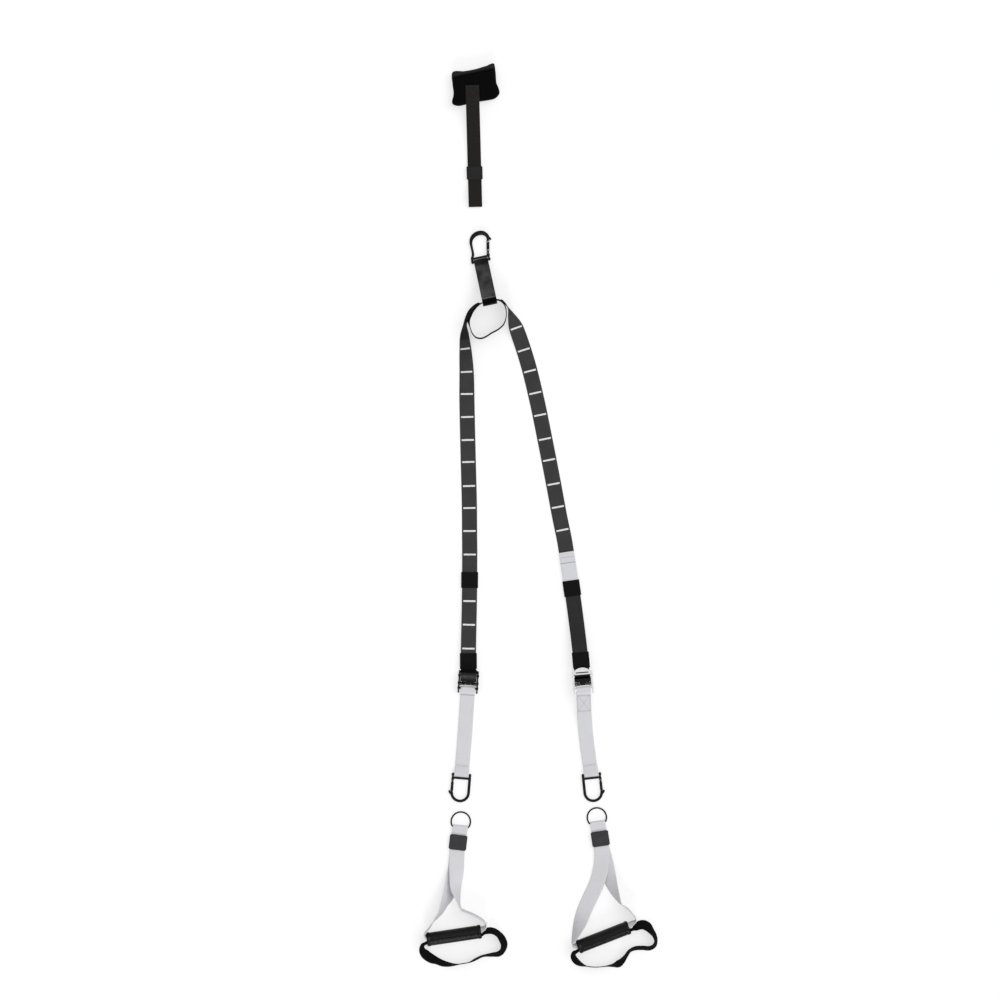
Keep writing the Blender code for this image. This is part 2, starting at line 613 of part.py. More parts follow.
def door_anchor(place, turn):
    """A folded pad, a strap sewn down its front with an eye at the far end, and a sleeve."""
    frame = at(place[0], place[1], 0, turn)
    bottom = WEB_THICK / 2
    wall = SLEEVE_WALL + SEAT_GAP
    on_pad = PAD_THICK + SEAT_GAP + bottom
    pad_middle = DOOR_STRAP_LENGTH
    pad_edge = pad_middle - 0.56 * PAD_LENGTH
    top = [
        (DOOR_STRAP_LENGTH, on_pad), (pad_edge + 0.3 * PAD_LENGTH, on_pad),
        (pad_edge + 0.1 * PAD_LENGTH, on_pad), (pad_edge, 0.985 * on_pad),
        (pad_edge - 0.1 * PAD_LENGTH, 0.87 * on_pad), (pad_edge - 0.25 * PAD_LENGTH, 0.64 * on_pad),
        (pad_edge - 0.5 * PAD_LENGTH, 0.42 * on_pad), (pad_edge - 0.85 * PAD_LENGTH, 0.26 * on_pad),
        (DOOR_RETURN_LENGTH + DOOR_EYE_RADIUS, bottom + wall + LAYER),
        (DOOR_SLEEVE_DROP + DOOR_SLEEVE_LENGTH / 2, bottom + wall + LAYER),
        (DOOR_SLEEVE_DROP, bottom + wall + LAYER),
        (DOOR_SLEEVE_DROP - DOOR_SLEEVE_LENGTH / 2, bottom + wall + LAYER),
        (0.72 * DOOR_EYE_LENGTH, 0.85 * DOOR_EYE_HEIGHT), (0.5 * DOOR_EYE_LENGTH, DOOR_EYE_HEIGHT),
        (0.22 * DOOR_EYE_LENGTH, 0.92 * DOOR_EYE_HEIGHT),
    ]
    bend = arc((DOOR_EYE_RADIUS, bottom + DOOR_EYE_RADIUS), DOOR_EYE_RADIUS, 120, 270, FOLD_POINTS)
    back = [
        (0.1 * DOOR_EYE_LENGTH, bottom), (0.4 * DOOR_EYE_LENGTH, bottom), (0.8 * DOOR_EYE_LENGTH, bottom),
        (DOOR_SLEEVE_DROP - DOOR_SLEEVE_LENGTH / 2, bottom + wall),
        (DOOR_SLEEVE_DROP, bottom + wall), (DOOR_RETURN_LENGTH, bottom + wall),
    ]
    side = smooth(top + bend + back, LEG_STEP)
    side[:, 1] = np.maximum(side[:, 1], bottom)
    ribbon("door_strap", side_view(frame, side), DOOR_WEB_WIDTH, BLACK_WEB)
    sleeve = frame @ Matrix.Translation((0, DOOR_SLEEVE_DROP, wall + WEB_THICK + SEAT_GAP / 2))
    band("door_sleeve", sleeve, DOOR_WEB_WIDTH + 2 * SLEEVE_SIDE_GAP, WEB_THICK + LAYER + 2 * SEAT_GAP,
         DOOR_SLEEVE_LENGTH, SLEEVE_WALL, LABEL)

    outline = smooth([(x * PAD_WIDTH, y * PAD_LENGTH) for x, y in PAD_OUTLINE_SHARES],
                     PAD_LENGTH / 8, True)
    shape = bmesh.new()
    rings = []
    for share, height in PAD_RING_SHARES:
        ring = []
        for x, y in outline:
            seam = PAD_SEAM_DEPTH / hypot(x, y) if height == 0.5 and y < 0.3 * PAD_LENGTH else 0
            ring.append(shape.verts.new((x * (share - seam), y * (share - seam), height * PAD_THICK)))
        rings.append(ring)
    for lower, upper in zip(rings, rings[1:]):
        for i in range(len(lower)):
            j = (i + 1) % len(lower)
            shape.faces.new((lower[j], lower[i], upper[i], upper[j]))
    shape.faces.new(rings[0])
    shape.faces.new(reversed(rings[-1]))
    bmesh.ops.recalc_face_normals(shape, faces=shape.faces)
    mesh = bpy.data.meshes.new("door_pad")
    shape.to_mesh(mesh)
    shape.free()
    middle = spot(frame, PAD_STEP_X, pad_middle)
    piece("door_pad", mesh, FOAM, at=middle, turn=(0, 0, turn))


def gate(name, parent, place, lean, length, radius, finish):
    """A gate bar on its hinge: a flat tongue in the post's slot, two beads and a round tip."""
    bead = radius + GATE_BEAD
    bead_end = GATE_START + GATE_BEAD_LENGTH
    tip = length - radius
    profile = [(0, length)]
    profile += [(radius * cos(a), tip + radius * sin(a)) for a in np.radians((68, 45, 22, 0))]
    profile += [
        (radius, tip - GATE_BEAD_LENGTH), (bead, tip - GATE_BEAD_LENGTH), (bead, tip - 2 * GATE_BEAD_LENGTH),
        (radius, tip - 2 * GATE_BEAD_LENGTH), (radius, bead_end + GATE_BEAD_LENGTH),
        (bead, bead_end + GATE_BEAD_LENGTH), (bead, bead_end), (radius, bead_end),
        (radius * 0.8, GATE_START), (0, GATE_START),
    ]
    obj = piece(name, turned(profile, ROUND_STEPS, AXES["Y"]), finish, parent, place, (0, 0, -lean))
    tongue = arc((0, 0), TONGUE_HALF, 180, 360, FOLD_POINTS)
    tongue += [(TONGUE_HALF, GATE_START + GATE_BEAD_LENGTH), (-TONGUE_HALF, GATE_START + GATE_BEAD_LENGTH)]
    shape_with(obj, plate(tongue, TONGUE_THICK), "UNION")
    shape_with(obj, cylinder(GATE_PIN_RADIUS + SEAT_GAP, 2 * radius, "Z"), "DIFFERENCE")
    return obj


def snap_hook(prefix, frame, path, wire, gate_radius, gate_lean, gate_length, spur):
    """A fixed-eye snap hook: bent bar, crossbar, two ears on the strap pin, nose spur and gate."""
    hinge = (POST_X, HINGE_RISE, 0)
    body = piece(prefix + "_body", rod(path[:, :3], wire, path[:, 3]), HARDWARE, frame)
    crossbar = [(-POST_X * 0.98, CROSSBAR_RISE, 0), (POST_X * 0.98, CROSSBAR_RISE, 0)]
    shape_with(body, rod(crossbar, CROSSBAR_RADIUS), "UNION")
    root = EAR_THICK / 2 / gate_radius
    post = [(POST_X, EAR_RADIUS / 3, 0), (POST_X, PIN_FOLD + WEB_THICK, 0), (POST_X, HINGE_RISE, 0),
            (POST_X, HINGE_RISE + POST_TOP, 0)]
    shape_with(body, rod(post, gate_radius, (root, root, 1, 0.85)), "UNION")
    for side in (-1, 1):
        ear = cylinder(EAR_RADIUS, EAR_THICK, "X", (side * POST_X, 0, 0))
        shape_with(body, ear, "UNION")
    shape_with(body, rod(spur, SPUR_RADIUS, (1.25, 1.0, 0.8)), "UNION")
    shape_with(body, cylinder(PIN_RADIUS + SEAT_GAP, 3 * POST_X, "X"), "DIFFERENCE")
    slot_floor = TONGUE_HALF + 2 * SEAT_GAP
    slot_height = slot_floor + 3 * gate_radius
    slot = block((4 * gate_radius, slot_height, TONGUE_THICK + 2 * SLOT_CLEAR),
                 (POST_X, HINGE_RISE - slot_floor + slot_height / 2, 0))
    shape_with(body, slot, "DIFFERENCE")
    shape_with(body, cylinder(GATE_PIN_RADIUS + SEAT_GAP, 3 * gate_radius, "Z", hinge), "DIFFERENCE")
    gate(prefix + "_gate", frame, hinge, gate_lean, gate_length, gate_radius, HARDWARE)
    pin = cylinder(GATE_PIN_RADIUS, 2 * gate_radius, "Z")
    piece(prefix + "_gate_pin", pin, BRIGHT, frame, hinge)
    strap_pin = pin_mesh(PIN_RADIUS, 2 * EAR_INNER + 2 * EAR_THICK, PIN_HEAD_RADIUS, PIN_HEAD_THICK, "X")
    piece(prefix + "_strap_pin", strap_pin, HARDWARE, frame)
    world = frame.matrix_world
    note(prefix + " swing", world.translation, world.to_3x3() @ Vector((1, 0, 0)))
    note(prefix + " gate", world @ Vector(hinge), world.to_3x3() @ Vector((0, 0, 1)))


def carabiner(place):
    """The pear-shaped carabiner at the top; it tips until its crown meets the floor."""
    height = WEB_THICK / 2 + PIN_FOLD
    crown = CARABINER_WIRE_RADIUS * max(row[2] for row in CARABINER_OUTLINE_SHARES)
    tip = asin((height - crown) / CARABINER_REACH)
    frame = empty("carabiner_frame", (*place, height), (-tip, 0, radians(ANCHOR_TURN)))
    lean = radians(CARABINER_GATE_LEAN)
    heading = Vector((sin(lean), cos(lean), 0))
    hinge = Vector((POST_X, HINGE_RISE, 0))
    nose = hinge + heading * (CARABINER_GATE_LENGTH + GATE_TIP_GAP)
    nose_share = CARABINER_GATE_RADIUS / CARABINER_WIRE_RADIUS
    straight = nose + heading * CARABINER_NOSE_STRAIGHT
    rows = [(nose.x, nose.y, 0, nose_share), (straight.x, straight.y, 0, nose_share)]
    rows += [(x * CARABINER_REACH, y * CARABINER_REACH, 0, share)
             for x, y, share in CARABINER_OUTLINE_SHARES]
    rows += [(-POST_X, 0, 0, EAR_THICK / 2 / CARABINER_WIRE_RADIUS)]
    side = Vector((heading.y, -heading.x, 0))
    spur = [nose + heading * CARABINER_GATE_RADIUS, nose + side * CARABINER_SPUR_OUT * 0.75,
            nose + side * CARABINER_SPUR_OUT - heading * CARABINER_SPUR_DROP]
    snap_hook("carabiner", frame, smooth(rows, RING_STEP), CARABINER_WIRE_RADIUS,
              CARABINER_GATE_RADIUS, lean, CARABINER_GATE_LENGTH, spur)


def lower_hook(side, place):
    """A U-shaped snap hook; it tips until its bend meets the floor. The right one lies turned over."""
    height = WEB_THICK / 2 + PIN_FOLD
    reach = HOOK_STRAIGHT + POST_X
    tip = asin((height - HOOK_WIRE_RADIUS) / reach)
    over = pi if side == "right" else 0
    turn = Matrix.Rotation(radians(HOOK_TURN[side]) + pi, 3, "Z") @ Matrix.Rotation(-tip, 3, "X")
    turn = turn @ Matrix.Rotation(over, 3, "Y")
    frame = empty(side + "_hook_frame", (*place, height), turn.to_euler())
    nose_share = HOOK_GATE_RADIUS / HOOK_WIRE_RADIUS
    bend = [(x, y, 0, 1.0) for x, y in arc((0, HOOK_STRAIGHT), POST_X, 8, 172, 2 * FOLD_POINTS)]
    rows = [(POST_X, HOOK_STRAIGHT, 0, nose_share), *bend, (-POST_X, HOOK_STRAIGHT, 0, 1),
            (-POST_X, HOOK_STRAIGHT / 2, 0, 1), (-POST_X, 0, 0, EAR_THICK / 2 / HOOK_WIRE_RADIUS)]
    spur = [(POST_X, HOOK_STRAIGHT + HOOK_SPUR_DROP, 0),
            (POST_X + HOOK_SPUR_OUT * 0.7, HOOK_STRAIGHT + HOOK_SPUR_DROP * 0.3, 0),
            (POST_X + HOOK_SPUR_OUT, HOOK_STRAIGHT - HOOK_SPUR_DROP * 0.6, 0)]
    length = HOOK_STRAIGHT - HINGE_RISE - GATE_TIP_GAP
    snap_hook(side + "_hook", frame, np.array(rows), HOOK_WIRE_RADIUS, HOOK_GATE_RADIUS, 0, length, spur)


def anchor_strap(pin_place):
    """A webbing loop from the carabiner's pin, up over the standing ring and back on the floor."""
    frame = at(pin_place[0], pin_place[1], 0, radians(ANCHOR_TURN))
    floor = WEB_THICK / 2
    pin = floor + PIN_FOLD
    over = LAYER + LEG_WEB_WIDTH + SEAT_GAP + WEB_THICK / 2
    far = -ANCHOR_LENGTH - ANCHOR_EYE_HALF
    near = -ANCHOR_LENGTH + ANCHOR_EYE_HALF
    bend = arc((0, pin), PIN_FOLD, -90, 100, FOLD_POINTS)
    top = [(0.25 * near, pin + PIN_FOLD + 0.25 * (over - pin - PIN_FOLD)),
           (0.6 * near, pin + PIN_FOLD + 0.6 * (over - pin - PIN_FOLD)),
           (near, over), (-ANCHOR_LENGTH, over + SEAT_GAP)]
    shoulder = arc((far + ANCHOR_ROUND, over - ANCHOR_ROUND), ANCHOR_ROUND, 90, 180, CORNER_POINTS)
    foot = arc((far + ANCHOR_ROUND, floor + ANCHOR_ROUND), ANCHOR_ROUND, 180, 270, CORNER_POINTS)
    back = [(-ANCHOR_LENGTH, floor), (0.6 * near, floor), (0.1 * near, floor)]
    rows = side_view(frame, bend + top + shoulder + foot + back)
    ribbon("anchor_strap", rows, BRIDGE_WEB_WIDTH, DARK_WEB, closed=True)


def ring_path():
    """The ring's smoothed outline, lifted where it stands on the anchor strap."""
    points = [(RING_X + x * RING_SPAN, RING_Y + y * RING_SPAN, lean, lift * LAYER, 0)
              for x, y, lean, lift in RING_OUTLINE_SHARES]
    return smooth(points, RING_STEP, True)


def beside_ring(path, start, end, step):
    """Points on the ring's outer face from one place of its outline to another."""
    def nearest(share):
        x = RING_X + share[0] * RING_SPAN
        y = RING_Y + share[1] * RING_SPAN
        return int(np.argmin(np.hypot(path[:, 0] - x, path[:, 1] - y)))

    first, last = nearest(start), nearest(end)
    count = len(path)
    rows = []
    index = first
    while True:
        heading = path[(index + 1) % count, :2] - path[index - 1, :2]
        outward = np.array((-heading[1], heading[0])) / np.linalg.norm(heading)
        place = path[index, :2] + outward * (LAYER + SEAT_GAP)
        rows.append((*place, (180 - path[index, 2]) * -step, max(path[index, 3], 0), 0))
        if index == last:
            return rows
        index = (index + step) % count


def leg_frame(side):
    """The pinch bar's place and the buckle's frame."""
    share = LEFT_BAR_SHARE if side == "left" else RIGHT_BAR_SHARE
    x = RING_X + share[0] * LEG_DROP
    y = RING_Y + share[1] * LEG_DROP
    over = pi if side == "right" else 0
    return empty(side + "_buckle_frame", (x, y, BAR_HEIGHT[side]), (0, over, radians(BUCKLE_TURN[side])))


def leg(side, path, buckle):
    """One leg: beside the ring, down to the buckle, round its pinch bar and back up as the
    tail. The left leg's tail lies under the strap, the right one's over it."""
    left = side == "left"
    main_up = 1 if left else -1
    leave = LEFT_LEAVE_SHARES if left else RIGHT_LEAVE_SHARES
    route = LEFT_ROUTE_SHARES if left else RIGHT_ROUTE_SHARES
    doubled = LEFT_DOUBLED_SHARES if left else RIGHT_DOUBLED_SHARES
    if left:
        start = beside_ring(path, RING_OUTLINE_SHARES[0], RING_OUTLINE_SHARES[-2], -1)
    else:
        start = beside_ring(path, RING_OUTLINE_SHARES[3], RING_OUTLINE_SHARES[4], 1)
    rest = KEEPER_WALL + SEAT_GAP
    level = BAR_HEIGHT[side] - HALF_LAYER - WEB_THICK / 2
    lows = (0, rest, rest, rest, rest + 0.45 * (level - rest), level, level, level)

    def world(share):
        return RING_X + share[0] * LEG_DROP, RING_Y + share[1] * LEG_DROP

    def stacked(upper):
        extra = LAYER if upper else 0
        return [(*world(share), low + extra) for share, low in zip(doubled, lows)]

    frame = at(*buckle.location[:2], 0, radians(BUCKLE_TURN[side]))
    bar = buckle.location.z

    def beside_bar(up, lean):
        near = spot(frame, 0, BAR_RADIUS)
        return (near.x, near.y, lean, bar + up * BAR_FOLD - WEB_THICK / 2, 0)

    main = start + [(RING_X + x * RING_SPAN, RING_Y + y * RING_SPAN, lean, 0, 0) for x, y, lean in leave]
    main += [(*world(row), row[2], 0, 0) for row in route]
    main += [(x, y, 0, lift, 0) for x, y, lift in stacked(main_up > 0)]
    main += [beside_bar(main_up, 0)]
    ends = (90, 270) if left else (-90, -270)
    turn = side_view(frame, arc((0, bar), BAR_FOLD, *ends, FOLD_POINTS))
    tail_rows = [(x, y, 180, lift, 0) for x, y, lift in stacked(main_up < 0)][::-1]
    tail = [beside_bar(-main_up, 180)] + tail_rows[:-2]
    main_run = lay(main, LEG_WEB_WIDTH, LEG_STEP)
    tail_run = lay(tail, LEG_WEB_WIDTH, LEG_STEP)
    ribbon(side + "_leg_strap", joined(main_run, turn, tail_run), LEG_WEB_WIDTH, DARK_WEB)

    first = np.array(tail_rows[-3])
    heading = np.array(tail_rows[-2])[:2] - first[:2]
    first[:2] += heading / np.linalg.norm(heading) * SEAT_GAP
    tab = lay([first, *tail_rows[-2:]], LEG_WEB_WIDTH, LEG_STEP)
    ribbon(side + "_tail_tab", tab, LEG_WEB_WIDTH, LIGHT_WEB)

    middle = [(*world(share), 0, low, 0) for share, low in zip(doubled, lows)]
    middle += [(*buckle.location[:2], 0, level, 0)]
    rows = lay(middle, LEG_WEB_WIDTH, LEG_STEP / 8)[0]
    for name, drop in (("upper", UPPER_KEEPER_DROP[side]), ("lower", LOWER_KEEPER_DROP[side])):
        index = int(np.argmin(np.abs(rows[:, 1] - (buckle.location.y + drop))))
        heading = rows[index - 2] - rows[index + 2]
        x, y, low = rows[index]
        place = at(x, y, low + HALF_LAYER, atan2(heading[1], heading[0]) - pi / 2)
        band(f"{side}_{name}_keeper", place, LEG_WEB_WIDTH + 2 * KEEPER_SIDE_GAP,
             WEB_THICK + LAYER + 2 * SEAT_GAP, KEEPER_LENGTH, KEEPER_WALL, ELASTIC)
        note(f"{side} {name} keeper slide", place.translation, place.to_3x3() @ Vector((0, 1, 0)))


def buckle_frame(side, frame, finish):
    """Two cheeks joined by a back plate with a slot and a crescent lip."""
    foot = CHEEK_ROUND - PLATE_OUTER
    outline = [(CHEEK_FRONT - y * CHEEK_LENGTH, z * CHEEK_HEIGHT + foot) for y, z in CHEEK_OUTLINE_SHARES]
    edge = (CHEEK_INNER + CHEEK_OUTER) / 2
    lip = [(x, LIP_BASE + (LIP_CREST - LIP_BASE) * (1 - (x / edge) ** 2))
           for x in np.linspace(edge, -edge, 12)]
    back = [(-edge, PLATE_BACK), (edge, PLATE_BACK)]
    end = SLOT_HEIGHT / 2
    slot_y = SLOT_FRONT - end
    slot = arc((SLOT_WIDTH / 2 - end, slot_y), end, -90, 90, CORNER_POINTS)
    slot += arc((end - SLOT_WIDTH / 2, slot_y), end, 90, 270, CORNER_POINTS)
    middle = Matrix.Translation((0, 0, PLATE_THICK / 2 - PLATE_OUTER))
    shell = plate(lip + back, PLATE_THICK, [slot], middle)
    body = piece(side + "_buckle_shell", shell, finish, frame)
    for way in (-1, 1):
        sideways = Matrix.Translation((way * (CHEEK_INNER + CHEEK_OUTER) / 2, 0, 0))
        sideways = sideways @ Euler(SIDE_PROFILE).to_matrix().to_4x4()
        shape_with(body, plate(outline, CHEEK_THICK, (), sideways), "UNION")
    for radius, y, z in ((BAR_RADIUS, 0, 0), (AXLE_RADIUS, -AXLE_DROP, AXLE_RISE),
                         (BAR_RADIUS, -STRAP_BAR_DROP, strap_bar_rise())):
        shape_with(body, cylinder(radius + SEAT_GAP, 3 * CHEEK_OUTER, "X", (0, y, z)), "DIFFERENCE")
    for way in (-1, 1):
        hole = (way * CHEEK_INNER, -AXLE_DROP - SPRING_LEG_LENGTH, AXLE_RISE - COIL_RADIUS)
        depth = 2 * (SPRING_LEG_DEPTH + SEAT_GAP)
        shape_with(body, cylinder(SPRING_WIRE_RADIUS + SEAT_GAP, depth, "X", hole), "DIFFERENCE")


def strap_bar_rise():
    """The strap bar's height in the buckle: its webbing fold reaches as low as the back plate."""
    return BAR_FOLD + WEB_THICK / 2 - PLATE_OUTER


def cam_lever(side, frame, finish):
    """The cam: a toothed nose that bites the strap on the pinch bar, a hub with two windows
    for the spring's coils, and a thumb tab over the strap."""
    outline = []
    half = radians(NOSE_HALF_ANGLE)
    for k in range(2 * TEETH + 1):
        angle = CONTACT_ANGLE - half + k * half / TEETH
        fade = 1 - NOSE_FADE_SHARE * max(0.0, angle - CONTACT_ANGLE)
        radius = NOSE_RADIUS * fade - (TOOTH_DEPTH if k % 2 else 0)
        outline.append((radius * cos(angle), radius * sin(angle)))
    along = Vector((cos(LEVER_ANGLE), sin(LEVER_ANGLE)))
    up = Vector((-along.y, along.x))
    tip = TAB_REACH - TAB_CURL_LENGTH
    outline += [along * NOSE_RADIUS * 0.85, along * tip, along * TAB_REACH + up * TAB_CURL,
                along * TAB_REACH + up * (TAB_CURL + TAB_THICK), along * tip + up * TAB_THICK,
                along * (1.6 * HUB_RADIUS) + up * TAB_THICK]
    outline += arc((0, 0), HUB_RADIUS, 115, 270, FOLD_POINTS)
    width = 2 * (CHEEK_INNER - LEVER_SIDE_GAP)
    axle = (0, -AXLE_DROP, AXLE_RISE)
    transform = Euler(SIDE_PROFILE).to_matrix().to_4x4()
    obj = piece(side + "_cam_lever", plate(outline, width, (), transform), finish, frame, axle)
    reach = TAB_REACH * along.x
    corner_x = width / 2 - TAB_CORNER
    plan = arc((corner_x, reach - TAB_CORNER), TAB_CORNER, 0, 90, CORNER_POINTS)
    plan += arc((-corner_x, reach - TAB_CORNER), TAB_CORNER, 90, 180, CORNER_POINTS)
    plan += [(-width, -TAB_REACH), (width, -TAB_REACH)]
    shape_with(obj, plate(plan, 4 * TAB_REACH), "INTERSECT")
    for way in (-1, 1):
        middle = (way * (COIL_WINDOW_INNER + COIL_WINDOW_OUTER) / 2, 0, 0)
        window = cylinder(COIL_WINDOW_RADIUS, COIL_WINDOW_OUTER - COIL_WINDOW_INNER, "X", middle)
        shape_with(obj, window, "DIFFERENCE")
    shape_with(obj, cylinder(AXLE_RADIUS + SEAT_GAP, 3 * CHEEK_OUTER, "X"), "DIFFERENCE")
    world = frame.matrix_world
    note(side + " lever", world @ Vector(axle), world.to_3x3() @ Vector((1, 0, 0)))


def cam_spring(side, frame):
    """A double torsion spring on the axle: a bridge under the nose, two coils, two legs that
    end in holes in the cheeks."""
    inner = COIL_WINDOW_INNER + SPRING_WIRE_RADIUS + SEAT_GAP
    outer = inner + COIL_TURNS * COIL_PITCH
    low = -COIL_RADIUS
    bridge = low - 2 * SPRING_WIRE_RADIUS
    half = [
        (0, SPRING_BRIDGE_REACH, bridge), (0.75 * COIL_WINDOW_INNER, SPRING_BRIDGE_REACH, bridge),
        (0.95 * COIL_WINDOW_INNER, 0.75 * SPRING_BRIDGE_REACH, bridge),
        (inner, 0.35 * SPRING_BRIDGE_REACH, 0.5 * (bridge + low)),
    ]
    for k in range(COIL_TURNS * COIL_POINTS + 1):
        angle = 2 * pi * k / COIL_POINTS
        out = inner + COIL_PITCH * k / COIL_POINTS
        half.append((out, -COIL_RADIUS * sin(angle), -COIL_RADIUS * cos(angle)))
    leg = SPRING_LEG_LENGTH
    half += [(outer, -0.5 * leg, low), (outer + SPRING_WIRE_RADIUS / 2, -0.85 * leg, low),
             (outer + 2 * SPRING_WIRE_RADIUS, -leg, low), (CHEEK_INNER + SPRING_LEG_DEPTH, -leg, low)]
    mirrored = [(-x, y, z) for x, y, z in half[:0:-1]]
    points = np.array(mirrored + half)
    wire = rod(points, SPRING_WIRE_RADIUS, detail=1)
    piece(side + "_cam_spring", wire, HARDWARE, frame, (0, -AXLE_DROP, AXLE_RISE))
    gap = COIL_PITCH - 2 * SPRING_WIRE_RADIUS
    for i in range(len(points)):
        away = np.linalg.norm(points[i + COIL_POINTS // 2:] - points[i], axis=1)
        if len(away):
            gap = min(gap, away.min() - 2 * SPRING_WIRE_RADIUS)
    print(f"{side} spring, least gap to itself: {gap * 1000:.2f} mm")


def cam_buckle(side, frame, finish):
    buckle_frame(side, frame, finish)
    shank = 2 * CHEEK_OUTER
    axle = (0, -AXLE_DROP, AXLE_RISE)
    strap_bar = (0, -STRAP_BAR_DROP, strap_bar_rise())
    pinch = pin_mesh(BAR_RADIUS, shank, HEAD_RADIUS, HEAD_THICK, "X")
    piece(side + "_pinch_bar", pinch, finish, frame)
    rivet = pin_mesh(AXLE_RADIUS, shank, HEAD_RADIUS, HEAD_THICK, "X")
    piece(side + "_cam_axle", rivet, finish, frame, axle)
    lower = pin_mesh(BAR_RADIUS, shank, HEAD_RADIUS, HEAD_THICK, "X")
    piece(side + "_strap_bar", lower, finish, frame, strap_bar)
    cam_lever(side, frame, finish)
    cam_spring(side, frame)


def lower_strap(side, buckle):
    """Light webbing sewn into a flat loop from the buckle's strap bar to the hook's pin."""
    left = side == "left"
    frame = at(*buckle.location[:2], 0, radians(BUCKLE_TURN[side]))
    bar = spot(frame, 0, -STRAP_BAR_DROP)
    bar_z = buckle.location.z + strap_bar_rise() * (1 if left else -1)
    pin_z = WEB_THICK / 2 + PIN_FOLD
    hook_turn = radians(HOOK_TURN[side])
    middle_turn = (radians(BUCKLE_TURN[side]) + hook_turn) / 2
    down = Vector((sin(middle_turn), -cos(middle_turn), 0))
    pin = bar + down * LOWER_LENGTH
    sideways = Vector((cos(middle_turn), sin(middle_turn), 0))
    flat = HALF_LAYER + WEB_THICK / 2
    first, second = LOWER_FLAT_SHARES[side]
    stations = ((0.0, bar_z, BAR_FOLD), (0.5 * first, 0.5 * (bar_z + flat), 0.4 * BAR_FOLD),
                (first, flat + 0.12 * (bar_z - flat), HALF_LAYER), (second, flat, HALF_LAYER),
                (0.7, flat, HALF_LAYER), (0.88, flat, HALF_LAYER), (1.0, pin_z, PIN_FOLD))

    def layer(up, lean):
        rows = []
        for share, mid, spread in stations:
            place = bar + down * (BAR_RADIUS + share * (LOWER_LENGTH - 2 * BAR_RADIUS))
            place += sideways * LOWER_BOW[side] * sin(pi * share)
            rows.append((place.x, place.y, lean, mid + up * spread - WEB_THICK / 2, 0))
        return rows

    top = lay(layer(1, 0), BRIDGE_WEB_WIDTH, LEG_STEP)
    bottom = lay(layer(-1, 180)[::-1], BRIDGE_WEB_WIDTH, LEG_STEP)
    bar_frame = at(bar.x, bar.y, bar_z, radians(BUCKLE_TURN[side]))
    pin_frame = at(pin.x, pin.y, pin_z, hook_turn)
    bar_bend = side_view(bar_frame, arc((0, 0), BAR_FOLD, -90, 90, FOLD_POINTS))
    pin_bend = side_view(pin_frame, arc((0, 0), PIN_FOLD, 90, 270, FOLD_POINTS))
    rows = joined(bar_bend, top, pin_bend, bottom)
    ribbon(side + "_lower_strap", rows, BRIDGE_WEB_WIDTH, LIGHT_WEB, closed=True)
    return pin


def d_ring(side, place):
    """A wire D-ring whose straight bar lies in the webbing's fold; its bow tips to the floor."""
    height = WEB_THICK / 2 + RING_FOLD
    tip = asin((height - RING_WIRE_RADIUS) / (D_CENTRE_RISE + D_HALF))
    frame = empty(side + "_d_ring_frame", (*place, height), (-tip, 0, radians(D_TURN[side])))
    drop = degrees(asin(D_CENTRE_RISE / D_HALF))
    bow = arc((0, D_CENTRE_RISE), D_HALF, -drop, 180 + drop, 2 * FOLD_POINTS)
    piece(side + "_d_ring", rod([(x, y, 0) for x, y in bow], RING_WIRE_RADIUS, closed=True), HARDWARE, frame)
    note(side + " d ring", frame.matrix_world.translation, frame.matrix_world.to_3x3() @ Vector((1, 0, 0)))
    return height


